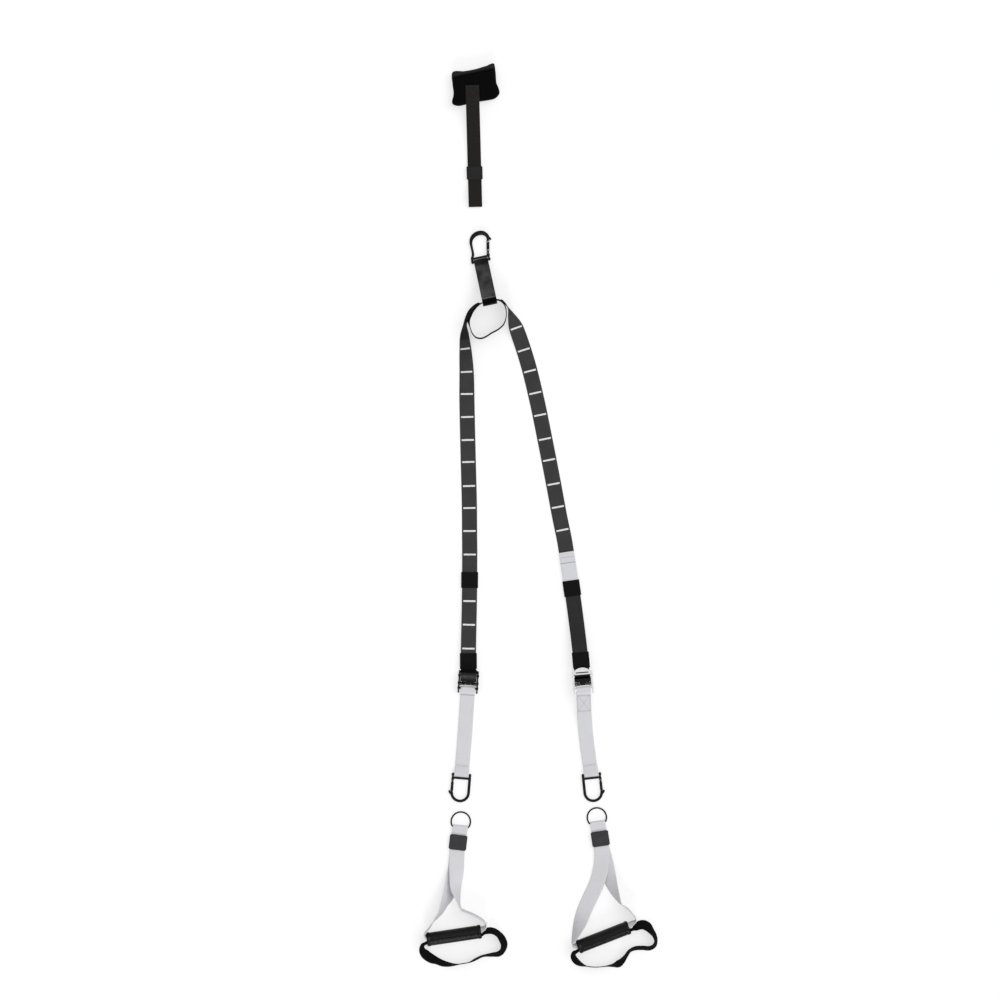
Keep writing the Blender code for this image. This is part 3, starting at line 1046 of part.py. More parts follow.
def handle(side, place):
    """One handle: D-ring, webbing loop through the grip, label sleeve, grip and foot loop."""
    left = side == "left"
    ring_height = d_ring(side, place)
    x, y = GRIP_PLACE_SHARES[side]
    turn = radians(GRIP_TURN[side])
    grip = at(place[0] + x * HANDLE_DROP, place[1] + y * HANDLE_DROP, GRIP_RADIUS, turn)
    reach = GRIP_LENGTH / 2 + TUBE_OVERRUN
    ends = (reach, -reach) if left else (-reach, reach)

    def route(table):
        return [(place[0] + x * HANDLE_DROP, place[1] + y * HANDLE_DROP, lean, layers * LAYER,
                 curl / CURL_RADIUS) for x, y, lean, layers, curl in table]

    def inside(offset, lean, ends, width):
        """The straight run through the tube, curled against one side of its bore."""
        half = CURL_RADIUS * sin(min(width / 2 / CURL_RADIUS, pi / 2))
        rows = []
        for share in (0, 0.06, 0.5, 0.94, 1):
            spot_in = spot(grip, ends[0] + share * (ends[1] - ends[0]), offset)
            rows.append((spot_in.x, spot_in.y, lean, GRIP_RADIUS - half, 1 / CURL_RADIUS))
        return rows

    lean = -90 if left else 90
    loop = route(FRONT_ROUTE_SHARES[side])
    loop += inside(CURL_RADIUS, lean, ends, LEG_WEB_WIDTH)
    loop += route(BACK_ROUTE_SHARES[side])
    ring_turn = radians(D_TURN[side])
    bar = at(place[0], place[1], ring_height, ring_turn)
    near = spot(bar, 0, -RING_FOLD)
    top = [(near.x, near.y, 0, ring_height + RING_FOLD - WEB_THICK / 2, 0)]
    bottom = [(near.x, near.y, 2 * lean, 0, 0)]
    bend = side_view(bar, arc((0, 0), RING_FOLD, -90, 90, FOLD_POINTS))
    rows = joined(bend, lay(top + loop + bottom, LEG_WEB_WIDTH, HANDLE_STEP))
    ribbon(side + "_handle_webbing", rows, LEG_WEB_WIDTH, LIGHT_WEB, CURL_CELLS, closed=True)

    slope = atan2(loop[0][1] - loop[2][1], loop[0][0] - loop[2][0]) - pi / 2
    sleeve = at(*loop[1][:2], SLEEVE_WALL + SEAT_GAP + WEB_THICK + SEAT_GAP / 2, slope)
    band(side + "_handle_sleeve", sleeve, LEG_WEB_WIDTH + 2 * SLEEVE_SIDE_GAP,
         WEB_THICK + LAYER + 2 * SEAT_GAP, HANDLE_SLEEVE_LENGTH, SLEEVE_WALL, LABEL)

    foot = route(FOOT_ROUTE_SHARES[side])
    foot += inside(-CURL_RADIUS, 90, (reach, -reach), FOOT_WEB_WIDTH)
    ribbon(side + "_foot_loop", lay(foot, FOOT_WEB_WIDTH, HANDLE_STEP, True), FOOT_WEB_WIDTH, BLACK_WEB,
           CURL_CELLS - 1, closed=True)

    half = GRIP_LENGTH / 2
    core_outer = CORE_INNER_RADIUS + CORE_WALL
    core = [(core_outer, half), (FLANGE_RADIUS, half), (FLANGE_RADIUS, half + FLANGE_THICK),
            (CORE_INNER_RADIUS, half + FLANGE_THICK), (CORE_INNER_RADIUS, -half - FLANGE_THICK),
            (FLANGE_RADIUS, -half - FLANGE_THICK), (FLANGE_RADIUS, -half), (core_outer, -half)]
    grip_turn = (0, 0, turn)
    middle = grip.translation
    core_mesh = turned(core, GRIP_STEPS, AXES["X"], True)
    piece(side + "_grip_core", core_mesh, HARDWARE, at=middle, turn=grip_turn)
    bore = core_outer + SEAT_GAP
    end = half - SEAT_GAP
    rim = end - RUBBER_RIM_LENGTH
    skin = GRIP_RADIUS - RUBBER_RIM
    rubber = [(skin, end), (GRIP_RADIUS, end - RUBBER_RIM), (GRIP_RADIUS, rim), (skin, rim - RUBBER_RIM),
              (skin, RUBBER_RIM - rim), (GRIP_RADIUS, -rim), (GRIP_RADIUS, RUBBER_RIM - end),
              (skin, -end), (bore, -end), (bore, end)]
    rubber_mesh = turned(rubber, GRIP_STEPS, AXES["X"], True)
    piece(side + "_grip_sleeve", rubber_mesh, RUBBER, at=middle, turn=grip_turn)
    note(side + " grip", middle, grip.to_3x3() @ Vector((1, 0, 0)))


AXES = {
    "X": Matrix.Rotation(pi / 2, 4, "Y"),
    "Y": Matrix.Rotation(-pi / 2, 4, "X"),
    "Z": Matrix.Identity(4),
}

clear_scene()
PARTS = collection("suspension_trainer")
CUTTERS = collection("cutters")
CUTTERS.hide_render = True
DARK_WEB = look("dark grey webbing", (0.045, 0.042, 0.044), 0.9)
BLACK_WEB = look("black webbing", (0.016, 0.015, 0.014), 0.9)
LIGHT_WEB = look("light grey webbing", (0.62, 0.62, 0.64), 0.88)
ELASTIC = look("black elastic", (0.007, 0.007, 0.007), 0.95)
LABEL = look("dark grey sleeve", (0.05, 0.05, 0.055), 0.8)
FOAM = look("black foam cloth", (0.008, 0.008, 0.009), 0.9)
RUBBER = look("black rubber", (0.012, 0.012, 0.012), 0.75)
HARDWARE = look("black hardware", (0.012, 0.012, 0.013), 0.35, 0.6)
SILVER = look("bright buckle", (0.75, 0.74, 0.76), 0.25, 1.0)
BRIGHT = look("steel pins", (0.55, 0.55, 0.56), 0.3, 1.0)

crossing = (RING_X + RING_CROSSING_SHARE[0] * RING_SPAN, RING_Y + RING_CROSSING_SHARE[1] * RING_SPAN)
tilt = radians(ANCHOR_TURN)
pin_place = (crossing[0] - ANCHOR_LENGTH * sin(tilt), crossing[1] + ANCHOR_LENGTH * cos(tilt))
crown_y = pin_place[1] + CARABINER_REACH + 2 * CARABINER_WIRE_RADIUS
door_anchor((pin_place[0] + DOOR_STEP_X, crown_y + DOOR_STEP_Y), radians(DOOR_TURN))
carabiner(pin_place)
anchor_strap(pin_place)
ring = ring_path()
standing = lay(ring, LEG_WEB_WIDTH, RING_STEP * 2, True)
ribbon("equalizer_ring", standing, LEG_WEB_WIDTH, DARK_WEB, closed=True)
for side in SIDES:
    buckle = leg_frame(side)
    leg(side, ring, buckle)
    cam_buckle(side, buckle, HARDWARE if side == "left" else SILVER)
    hook_pin = lower_strap(side, buckle)
    lower_hook(side, hook_pin[:2])
    handle(side, (hook_pin.x + HANDLE_STEP_X[side], hook_pin.y - HANDLE_STEP_Y[side]))
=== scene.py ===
from math import asin, atan, atan2, cos, degrees, hypot, pi, radians, sin

import bpy
import numpy as np
from mathutils import Matrix


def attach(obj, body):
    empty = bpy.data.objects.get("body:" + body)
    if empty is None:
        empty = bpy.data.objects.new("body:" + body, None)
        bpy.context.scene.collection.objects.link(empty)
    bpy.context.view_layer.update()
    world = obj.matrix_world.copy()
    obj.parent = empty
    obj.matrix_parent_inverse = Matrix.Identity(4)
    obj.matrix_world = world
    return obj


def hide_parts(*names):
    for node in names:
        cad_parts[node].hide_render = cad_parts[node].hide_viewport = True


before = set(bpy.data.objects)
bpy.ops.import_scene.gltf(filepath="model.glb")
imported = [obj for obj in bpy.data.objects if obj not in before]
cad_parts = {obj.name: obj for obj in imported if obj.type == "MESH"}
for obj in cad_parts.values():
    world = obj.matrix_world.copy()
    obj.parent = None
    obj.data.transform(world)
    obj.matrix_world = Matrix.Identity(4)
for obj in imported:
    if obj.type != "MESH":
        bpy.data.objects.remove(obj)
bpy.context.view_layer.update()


# The studio: the trainer lies on a wide white sheet, under a pale sky. One large soft lamp is on
# its right and a smaller one is low in front. The camera looks straight down from seven metres,
# as the photograph does.
VIEW_MIDDLE = (-0.09585, 0.0387)
VIEW_WIDTH = 2.5
VIEW_DEPTH = 50
LENS = 100.0
SENSOR = 36.0
SHEET_HALF = 9.0
SHEET_DROP = 0.0004
SHEET_GLOW = 0.64
SHEET_TONE = 0.75
SHEET_TONE_SEEN = 0.36
SKY_LEVEL = 0.6
LAMPS = (
    ("soft lamp", 0.85, 50.0, (-17.0, 34.0, 0.0)),
    ("front lamp", 0.45, 12.0, (58.0, 0.0, 0.0)),
)


def wired(tree, kind, inputs=(), **settings):
    """A shader node with its settings; each input takes a number or another node's output."""
    made = tree.nodes.new(kind)
    for name, value in settings.items():
        setattr(made, name, value)
    for socket, value in dict(inputs).items():
        if isinstance(value, bpy.types.NodeSocket):
            tree.links.new(value, made.inputs[socket])
        else:
            made.inputs[socket].default_value = value
    return made


def calc(tree, kind, first, second=0.0):
    """One step of arithmetic on two values, such as ADD or MAXIMUM."""
    return wired(tree, "ShaderNodeMath", {0: first, 1: second}, operation=kind).outputs[0]


def blended(tree, share, low, high):
    """A colour part way from low to high."""
    made = wired(tree, "ShaderNodeMix", data_type="RGBA")
    for socket, value in ((0, share), (6, low), (7, high)):
        if isinstance(value, bpy.types.NodeSocket):
            tree.links.new(value, made.inputs[socket])
        else:
            made.inputs[socket].default_value = value if socket == 0 else (*value, 1)
    return made.outputs[2]


sky = bpy.data.worlds.new("pale sky")
sky.use_nodes = True
sky.node_tree.nodes["Background"].inputs["Color"].default_value = (1, 1, 1, 1)
sky.node_tree.nodes["Background"].inputs["Strength"].default_value = SKY_LEVEL
bpy.context.scene.world = sky
bpy.context.scene.view_settings.view_transform = "Standard"

for name, level, angle, turn in LAMPS:
    lamp = bpy.data.objects.new(name, bpy.data.lights.new(name, "SUN"))
    lamp.data.energy = level * pi / 2
    lamp.data.angle = radians(angle)
    lamp.rotation_euler = [radians(part) for part in turn]
    bpy.context.scene.collection.objects.link(lamp)

sheet_mesh = bpy.data.meshes.new("white sheet")
sheet_mesh.from_pydata([(x * SHEET_HALF, y * SHEET_HALF, -SHEET_DROP)
                        for x, y in ((-1, -1), (1, -1), (1, 1), (-1, 1))], [], [(0, 1, 2, 3)])
sheet = bpy.data.objects.new("white sheet", sheet_mesh)
bpy.context.scene.collection.objects.link(sheet)
paper = bpy.data.materials.new("white paper")
paper.use_nodes = True
paper_tree = paper.node_tree
ray = wired(paper_tree, "ShaderNodeLightPath")
seen = calc(paper_tree, "MAXIMUM", ray.outputs["Is Camera Ray"], ray.outputs["Is Glossy Ray"])
seen = calc(paper_tree, "MAXIMUM", seen, ray.outputs["Is Transmission Ray"])
sheet_colour = blended(paper_tree, seen, (SHEET_TONE,) * 3, (SHEET_TONE_SEEN,) * 3)
sheet_glow = calc(paper_tree, "MULTIPLY", seen, SHEET_GLOW)
paper_shader = paper_tree.nodes["Principled BSDF"]
paper_tree.links.new(sheet_colour, paper_shader.inputs["Base Color"])
paper_tree.links.new(sheet_glow, paper_shader.inputs["Emission Strength"])
paper_shader.inputs["Emission Color"].default_value = (1, 1, 1, 1)
paper_shader.inputs["Roughness"].default_value = 1.0
paper_shader.inputs["Specular IOR Level"].default_value = 0.0
sheet_mesh.materials.append(paper)

camera = bpy.data.objects.new("camera", bpy.data.cameras.new("camera"))
camera.data.lens = LENS
camera.data.sensor_width = SENSOR
camera.data.clip_end = VIEW_DEPTH
camera.location = (*VIEW_MIDDLE, VIEW_WIDTH * LENS / SENSOR)
bpy.context.scene.collection.objects.link(camera)
bpy.context.scene.camera = camera


# The door pad: a block of foam in black knitted cloth, about 110 by 92 mm and 28 mm thick. Its
# far edge is rolled over and sewn down, which leaves a crease, and a seam closes its sides.
RING_PLACE = np.array((-0.1259, 0.4912))
RING_SPAN = 0.0963
CROSSING_SHARE = np.array((0.044, 0.439))
ANCHOR_TURN = radians(12.0)
ANCHOR_LENGTH = 0.1057
PIN_PLACE = RING_PLACE + CROSSING_SHARE * RING_SPAN
PIN_PLACE = PIN_PLACE + ANCHOR_LENGTH * np.array((-sin(ANCHOR_TURN), cos(ANCHOR_TURN)))
CARABINER_REACH = 0.068
CARABINER_WIRE = 0.0028
DOOR_PLACE = PIN_PLACE + (-0.0135, CARABINER_REACH + 2 * CARABINER_WIRE + 0.0612)
DOOR_TURN = radians(1.5)
DOOR_STRAP_LENGTH = 0.305
PAD_WIDTH = 0.11
PAD_LENGTH = 0.092
PAD_THICK = 0.028
PAD_STEP = 0.008
PAD_OUTLINE = (
    (-0.535, 0.335), (-0.26, 0.376), (0.02, 0.43), (0.28, 0.505), (0.445, 0.555), (0.478, 0.38),
    (0.502, 0.04), (0.545, -0.32), (0.45, -0.42), (0.26, -0.467), (0.02, -0.50), (-0.20, -0.55),
    (-0.42, -0.60), (-0.535, -0.56), (-0.53, -0.26), (-0.53, 0.04),
)
PAD_SECTION = (
    (0.02, 0.0), (0.45, 0.0), (0.80, 0.0), (0.92, 0.03), (0.97, 0.16), (0.985, 0.34), (0.985, 0.5),
    (0.985, 0.66), (0.96, 0.84), (0.89, 0.93), (0.72, 0.96), (0.45, 0.96), (0.02, 0.96),
)
PAD_VOXEL = 0.0026
PAD_PRESSURE = 4.0
PAD_SWELL = 0.0022
PAD_STEPS = 20
ROLL_WIDTH = 0.0165
ROLL_SLOPE = 0.188
CREASE_DEPTH = 0.005
CREASE_HALF = 0.0022
PRESS_HALF = 0.021
PRESS_END = 0.006
PRESS_FADE = 0.004
PRESS_SINK = 0.0002
KNIT_SCALE = 175.0
PAD_BLACK = (0.0018, 0.0018, 0.0019)
# The colour of the painted highlight along the crown of the pad's rolled edge.
ROLL_PAINTED_HIGHLIGHT = (0.022, 0.022, 0.023)


def eased(rows, step, looped=False):
    """Rows about one step apart on a smooth curve through the given ones. Between two rows
    each column follows a cubic that leaves and arrives with the slope of its neighbours'
    chord, and a column after x and y is level wherever it turns back."""
    rows = np.array(rows, float)
    ahead = np.roll(rows, -1, 0) - rows
    gap = np.maximum(np.hypot(ahead[:, 0], ahead[:, 1]), 1e-6)
    slope = ahead / gap[:, None]
    before = np.roll(slope, 1, 0)
    behind = np.roll(gap, 1)[:, None]
    tangent = (slope * behind + before * gap[:, None]) / (behind + gap[:, None])
    tangent[:, 2:][slope[:, 2:] * before[:, 2:] <= 0] = 0
    spans = len(rows)
    if not looped:
        tangent[0], tangent[-1] = slope[0], slope[-2]
        spans -= 1
    parts = np.maximum(1, np.ceil(gap[:spans] / step)).astype(int)
    here = np.repeat(np.arange(spans), parts)
    there = (here + 1) % len(rows)
    since = np.arange(parts.sum()) - np.repeat(np.cumsum(parts) - parts, parts)
    t = (since / parts[here])[:, None]
    reach = gap[here][:, None]
    path = (2 * t**3 - 3 * t**2 + 1) * rows[here] + (t**3 - 2 * t**2 + t) * reach * tangent[here]
    path += (3 * t**2 - 2 * t**3) * rows[there] + (t**3 - t**2) * reach * tangent[there]
    return path if looped else np.vstack((path, rows[-1]))


def flush(*columns):
    """Several columns, numbers among them, side by side as rows."""
    return np.stack(np.broadcast_arrays(*columns), -1)


def round_uv(points):
    """How far each point lies round its section and along the rows, in metres."""
    around = np.linalg.norm(np.roll(points, -1, 1) - points, axis=2).max(0)
    along = np.linalg.norm(np.roll(points, -1, 0) - points, axis=2).mean(1)
    return np.append(0, np.cumsum(around)), np.append(0, np.cumsum(along))


def skin(name, shells, finish, sharp=40.0):
    """One mesh from closed grids of points: a face between each four neighbours, round the
    section and from row to row; an open grid's first and last rows are filled flat. Its map
    holds metres round the section and along the rows."""
    spots, corners, totals, marks, start = [], [], [], [], 0
    for points, looped, *given in shells:
        us, vs = given if given else round_uv(points)
        count, around = points.shape[:2]
        row = np.arange(count if looped else count - 1)[:, None]
        cell = np.arange(around)[None, :]
        ahead, beside = (row + 1) % count, (cell + 1) % around
        quads = flush(row * around + cell, row * around + beside,
                      ahead * around + beside, ahead * around + cell)
        corners.append(quads.reshape(-1) + start)
        totals.append(np.full(len(row) * around, 4))
        u_marks = flush(us[cell], us[cell + 1], us[cell + 1], us[cell]) + 0 * row[..., None]
        v_marks = flush(vs[row], vs[row], vs[row + 1], vs[row + 1]) + 0 * cell[..., None]
        marks.append(np.stack((u_marks, v_marks), -1).reshape(-1, 2))
        if not looped:
            rim = np.arange(around)
            corners += [start + rim[::-1], start + (count - 1) * around + rim]
            totals.append(np.array((around, around)))
            marks += [flush(us[rim[::-1]], vs[0]), flush(us[rim], vs[count - 1])]
        spots.append(points.reshape(-1, 3))
        start += count * around
    totals = np.concatenate(totals)
    corners = np.concatenate(corners)
    mesh = bpy.data.meshes.new(name)
    mesh.vertices.add(start)
    mesh.vertices.foreach_set("co", np.concatenate(spots).astype(np.float32).ravel())
    mesh.loops.add(len(corners))
    mesh.loops.foreach_set("vertex_index", corners.astype(np.int32))
    mesh.polygons.add(len(totals))
    mesh.polygons.foreach_set("loop_start", (np.cumsum(totals) - totals).astype(np.int32))
    marks = np.concatenate(marks).astype(np.float32)
    mesh.uv_layers.new(name="UVMap").data.foreach_set("uv", marks.ravel())
    mesh.update(calc_edges=True)
    mesh.validate()
    mesh.shade_smooth()
    mesh.set_sharp_from_angle(angle=radians(sharp))
    mesh.materials.append(finish)
    made = bpy.data.objects.new(name, mesh)
    bpy.context.scene.collection.objects.link(made)
    return made


def set_at(place, turn, points):
    """Points drawn in a piece's own frame, turned about the upright axis and moved to place."""
    points = np.asarray(points, float)
    x = points[..., 0] * cos(turn) - points[..., 1] * sin(turn) + place[0]
    y = points[..., 0] * sin(turn) + points[..., 1] * cos(turn) + place[1]
    return flush(x, y, points[..., 2])


def surface(name, colour, rough, **constants):
    """A new material: its node tree and its shader, with the plain values set on the shader."""
    made = bpy.data.materials.new(name)
    made.use_nodes = True
    shader = made.node_tree.nodes["Principled BSDF"]
    shader.inputs["Base Color"].default_value = (*colour, 1)
    shader.inputs["Roughness"].default_value = rough
    for key, value in constants.items():
        shader.inputs[key.replace("_", " ")].default_value = value
    return made, made.node_tree, shader


def embossed(tree, shader, height, depth, strength=0.6):
    """Lets a height pattern tilt the surface, depth being its real height in metres."""
    inputs = {"Height": height, "Distance": depth, "Strength": strength}
    tree.links.new(wired(tree, "ShaderNodeBump", inputs).outputs[0], shader.inputs["Normal"])


def on_piece(tree):
    """A point's place on its piece, in metres."""
    return wired(tree, "ShaderNodeTexCoord").outputs["Object"]


def noise(tree, place, scale, detail):
    """Cloudy noise from zero to one; a larger scale makes it finer."""
    inputs = {"Vector": place, "Scale": scale, "Detail": detail}
    return wired(tree, "ShaderNodeTexNoise", inputs).outputs["Fac"]


def waves(tree, place, scale, distortion, way="DIAGONAL"):
    """Even ridges from zero to one, which the distortion makes waver."""
    inputs = {"Vector": place, "Scale": scale, "Distortion": distortion}
    return wired(tree, "ShaderNodeTexWave", inputs, bands_direction=way).outputs["Fac"]


def weighed(tree, *parts, plus=None):
    """The sum of several values, each times its weight."""
    total = None
    for value, weight in parts:
        share = calc(tree, "MULTIPLY", value, weight)
        total = share if total is None else calc(tree, "ADD", total, share)
    return total if plus is None else calc(tree, "ADD", total, plus)


def toned(tree, share, colour, low, high):
    """A colour that runs from low to high times the one given."""
    ends = [tuple(min(c * k, 1.0) for c in colour) for k in (low, high)]
    return blended(tree, share, *ends)


ROLL_LINE = DOOR_TURN + atan(ROLL_SLOPE)
ROLL_NORMAL = (-sin(ROLL_LINE), cos(ROLL_LINE), 0)
PAD_CORNER = (PAD_OUTLINE[0][0] * PAD_WIDTH, PAD_OUTLINE[0][1] * PAD_LENGTH)
roll_start = set_at(DOOR_PLACE, DOOR_TURN,
                    (PAD_STEP + PAD_CORNER[0], DOOR_STRAP_LENGTH + PAD_CORNER[1], 0))
ROLL_PLACE = float(np.dot(roll_start, ROLL_NORMAL)) - 0.5 * ROLL_WIDTH


def knitted_cloth():
    """Fine diagonal ribs of a knitted cover, 0.9 mm apart both ways, over slow tone changes. A
    painted highlight lies along the crown of the rolled edge, fading with a point's distance from
    its line."""
    made, tree, shader = surface("black knitted cloth", PAD_BLACK, 0.85, Specular_IOR_Level=0.04,
                                 Sheen_Weight=0.01)
    place = on_piece(tree)
    turned = wired(tree, "ShaderNodeMapping", {"Vector": place, "Rotation": (0.3, 0.2, 1.57)})
    loops = calc(tree, "MAXIMUM", waves(tree, place, KNIT_SCALE, 0.6),
                 waves(tree, turned.outputs[0], KNIT_SCALE, 0.6))
    share = weighed(tree, (loops, 0.55), (noise(tree, place, 28.0, 4.0), 0.5))
    cloth = toned(tree, share, PAD_BLACK, 0.55, 1.5)
    # Painted highlight: full on the roll's crown line, gone half a roll's width away.
    pair = {0: place, 1: ROLL_NORMAL}
    across = wired(tree, "ShaderNodeVectorMath", pair, operation="DOT_PRODUCT").outputs["Value"]
    off = calc(tree, "ABSOLUTE", calc(tree, "SUBTRACT", across, ROLL_PLACE))
    lit = calc(tree, "SUBTRACT", 1.0, calc(tree, "DIVIDE", off, ROLL_WIDTH * 0.5))
    lit = calc(tree, "MAXIMUM", lit, 0.0)
    tree.links.new(blended(tree, lit, cloth, ROLL_PAINTED_HIGHLIGHT), shader.inputs["Base Color"])
    embossed(tree, shader, loops, 0.0004)
    return made


outline = eased(np.array(PAD_OUTLINE) * (PAD_WIDTH, PAD_LENGTH), PAD_LENGTH / 30, True)
inset, height = np.array(PAD_SECTION).T[:, :, None]
pad_grid = flush(outline[:, 0] * inset, outline[:, 1] * inset, height * PAD_THICK)
pad_middle = set_at(DOOR_PLACE, DOOR_TURN, (PAD_STEP, DOOR_STRAP_LENGTH, 0))
pad_shell = set_at(pad_middle, DOOR_TURN, pad_grid)
pad = skin("door_pad_cushion", [(pad_shell, False)], knitted_cloth())


def applied(piece):
    """Replaces a piece's mesh by the one its modifiers give."""
    graph = bpy.context.evaluated_depsgraph_get()
    mesh = bpy.data.meshes.new_from_object(piece.evaluated_get(graph))
    piece.modifiers.clear()
    piece.data = mesh


def corners_of(piece):
    """The places of a piece's vertices, one row each."""
    flat = np.empty(len(piece.data.vertices) * 3, np.float32)
    piece.data.vertices.foreach_get("co", flat)
    return flat.reshape(-1, 3).astype(float)


def swollen(piece, voxel, pressure, most, steps):
    """The foam's push on its cover: the mesh is cut into even squares and blown up as cloth
    with a little air pressure, and no point moves further than most."""
    remesh = piece.modifiers.new("Even squares", "REMESH")
    remesh.mode = "VOXEL"
    remesh.voxel_size = voxel
    applied(piece)
    before = corners_of(piece)
    cover = piece.modifiers.new("Cover", "CLOTH")
    cover.settings.use_pressure = True
    cover.settings.uniform_pressure_force = pressure
    cover.settings.effector_weights.gravity = 0
    scene = bpy.context.scene
    for step in range(1, steps + 1):
        scene.frame_set(step)
    applied(piece)
    scene.frame_set(1)
    moved = corners_of(piece) - before
    far = np.linalg.norm(moved, axis=1)
    moved *= (np.minimum(far, most) / np.maximum(far, 1e-9))[:, None]
    piece.data.vertices.foreach_set("co", (before + moved).astype(np.float32).ravel())
    piece.data.update()


swollen(pad, PAD_VOXEL, PAD_PRESSURE, PAD_SWELL, PAD_STEPS)
smoother = pad.modifiers.new("Smooth", "SUBSURF")
smoother.levels = smoother.render_levels = 1
applied(pad)
spots = corners_of(pad)
local = set_at((0, 0), -DOOR_TURN, spots - (pad_middle[0], pad_middle[1], 0))
far_edge = PAD_CORNER[1] + ROLL_SLOPE * (local[:, 0] - PAD_CORNER[0])
crease = np.exp(-((local[:, 1] - far_edge + ROLL_WIDTH) / CREASE_HALF) ** 2)
upper = np.clip(local[:, 2] / PAD_THICK * 2 - 1, 0, 1)
spots[:, 2] -= CREASE_DEPTH * crease * upper
under_strap = np.clip((PRESS_HALF - np.abs(local[:, 0] + PAD_STEP)) / PRESS_FADE, 0, 1)
under_strap *= np.clip((PRESS_END - local[:, 1]) / PRESS_FADE, 0, 1)
pressed = np.minimum(spots[:, 2], PAD_THICK - PRESS_SINK)
spots[:, 2] += (pressed - spots[:, 2]) * under_strap
spots[:, 2] = np.maximum(spots[:, 2], 0.0)
pad.data.vertices.foreach_set("co", spots.astype(np.float32).ravel())
pad.data.update()
pad.data.shade_smooth()
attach(pad, "door_anchor")
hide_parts("door_pad")


# The door strap: 34 mm black webbing, sewn down the pad's face. It runs back to a flat eye, and
# the folded end is sewn under it beneath the sleeve.
WEB_THICK = 0.002
SEAT_GAP = 0.0003
LAYER = WEB_THICK + SEAT_GAP
DOOR_WEB_WIDTH = 0.034
DOOR_EYE_LENGTH = 0.064
DOOR_EYE_HEIGHT = 0.013
DOOR_EYE_RADIUS = 0.0035
DOOR_RETURN = 0.112
DOOR_SLEEVE_DROP = 0.084
DOOR_SLEEVE_LENGTH = 0.034
SLEEVE_WALL = 0.0012
STRAP_STEP = 0.004
BLACK_WEB = (0.0138, 0.0124, 0.0110)
BLACK_THREAD = (0.02, 0.019, 0.018)
PAD_NEAR_SHARE = 0.56
DOOR_END_TUCK = 0.005
SEAM_INSET = 0.003


def bend(middle, radius, start, end, count=14):
    """Points of a round bend, from one angle in degrees to another."""
    angles = np.radians(np.linspace(start, end, count))
    return flush(middle[0] + radius * np.cos(angles), middle[1] + radius * np.sin(angles))


def round_angles(count):
    """Evenly spaced angles of a full turn, as one row."""
    return np.linspace(0, 2 * pi, count + 1)[:-1][None, :]


def headings(places, looped=False):
    """The way a route runs at each of its places, from the places before and after it."""
    if looped:
        return np.roll(places, -1, 0) - np.roll(places, 1, 0)
    return np.gradient(places, axis=0)


def unit(rows):
    """Rows made one long."""
    return rows / np.linalg.norm(rows, axis=1)[:, None]


def travelled(places, looped=False):
    """How far each place lies along its route; a loop's last value is its whole length."""
    steps = np.roll(places, -1, 0) - places
    return np.append(0, np.cumsum(np.linalg.norm(steps if looped else steps[:-1], axis=1)))


def from_side(place, turn, points):
    """A route drawn from the strap's side, as distance ahead and height; the strap lies level
    across it. Gives its places, the direction across it and its curl."""
    points = np.asarray(points, float)
    across = np.tile((cos(turn), sin(turn), 0.0), (len(points), 1))
    return set_at(place, turn, flush(0, points[:, 0], points[:, 1])), across, np.zeros(len(points))


def end_to_end(*runs):
    """Several runs of one strap, joined in their order."""
    return tuple(np.concatenate(columns) for columns in zip(*runs))


def faces_up(rows, looped=False):
    """The direction out of a strap's face: its heading crossed with the direction across it."""
    places, across, _ = rows
    return unit(np.cross(headings(places, looped), across))


def carried(rows, width, thick=WEB_THICK, cells=8, looped=False, wave=0.0):
    """A strap's grid: its section, flat with half-round edges, is set at every place of the
    route, across it and along its normal. A curled strap's section follows a circle: a point s
    from the middle sits sin(curl s)/curl across and (1 - cos(curl s))/curl up. Wave lifts it."""
    places, across, curls = rows
    up = faces_up(rows, looped)
    flat = width / 2 - thick / 2
    row = np.linspace(-flat, flat, cells + 1)[1:-1]
    rim = np.radians(np.linspace(-90, 90, 7))
    edge_s, edge_h = thick / 2 * np.cos(rim), thick / 2 * np.sin(rim)
    s = np.concatenate((row, flat + edge_s, -row, -flat - edge_s))
    h = np.concatenate((0 * row - thick / 2, edge_h, 0 * row + thick / 2, -edge_h))
    s, h = s[None, :, None], h[None, :, None] + wave * np.ones((len(places), 1, 1))
    turn = curls[:, None, None] * s
    across, up = across[:, None], up[:, None]
    grid = places[:, None] + across * s * np.sinc(turn / pi)
    grid = grid + up * s * np.sin(turn / 2) * np.sinc(turn / 2 / pi)
    grid = grid + (up * np.cos(turn) - across * np.sin(turn)) * h
    s_step, h_step = (np.diff(k[0, :, 0], append=k[0, 0, 0]) for k in (s, h))
    return grid, looped, np.append(0, np.cumsum(np.hypot(s_step, h_step))), travelled(places, True)


def map_axes(tree):
    """Metres round the section and along the rows, from a piece's own map."""
    mapped = wired(tree, "ShaderNodeUVMap", uv_map="UVMap").outputs[0]
    return wired(tree, "ShaderNodeSeparateXYZ", {0: mapped}).outputs


def zigzag(tree, value):
    """Up to one and back to zero over each unit of the value."""
    return calc(tree, "MULTIPLY", calc(tree, "PINGPONG", value, 0.5), 2)


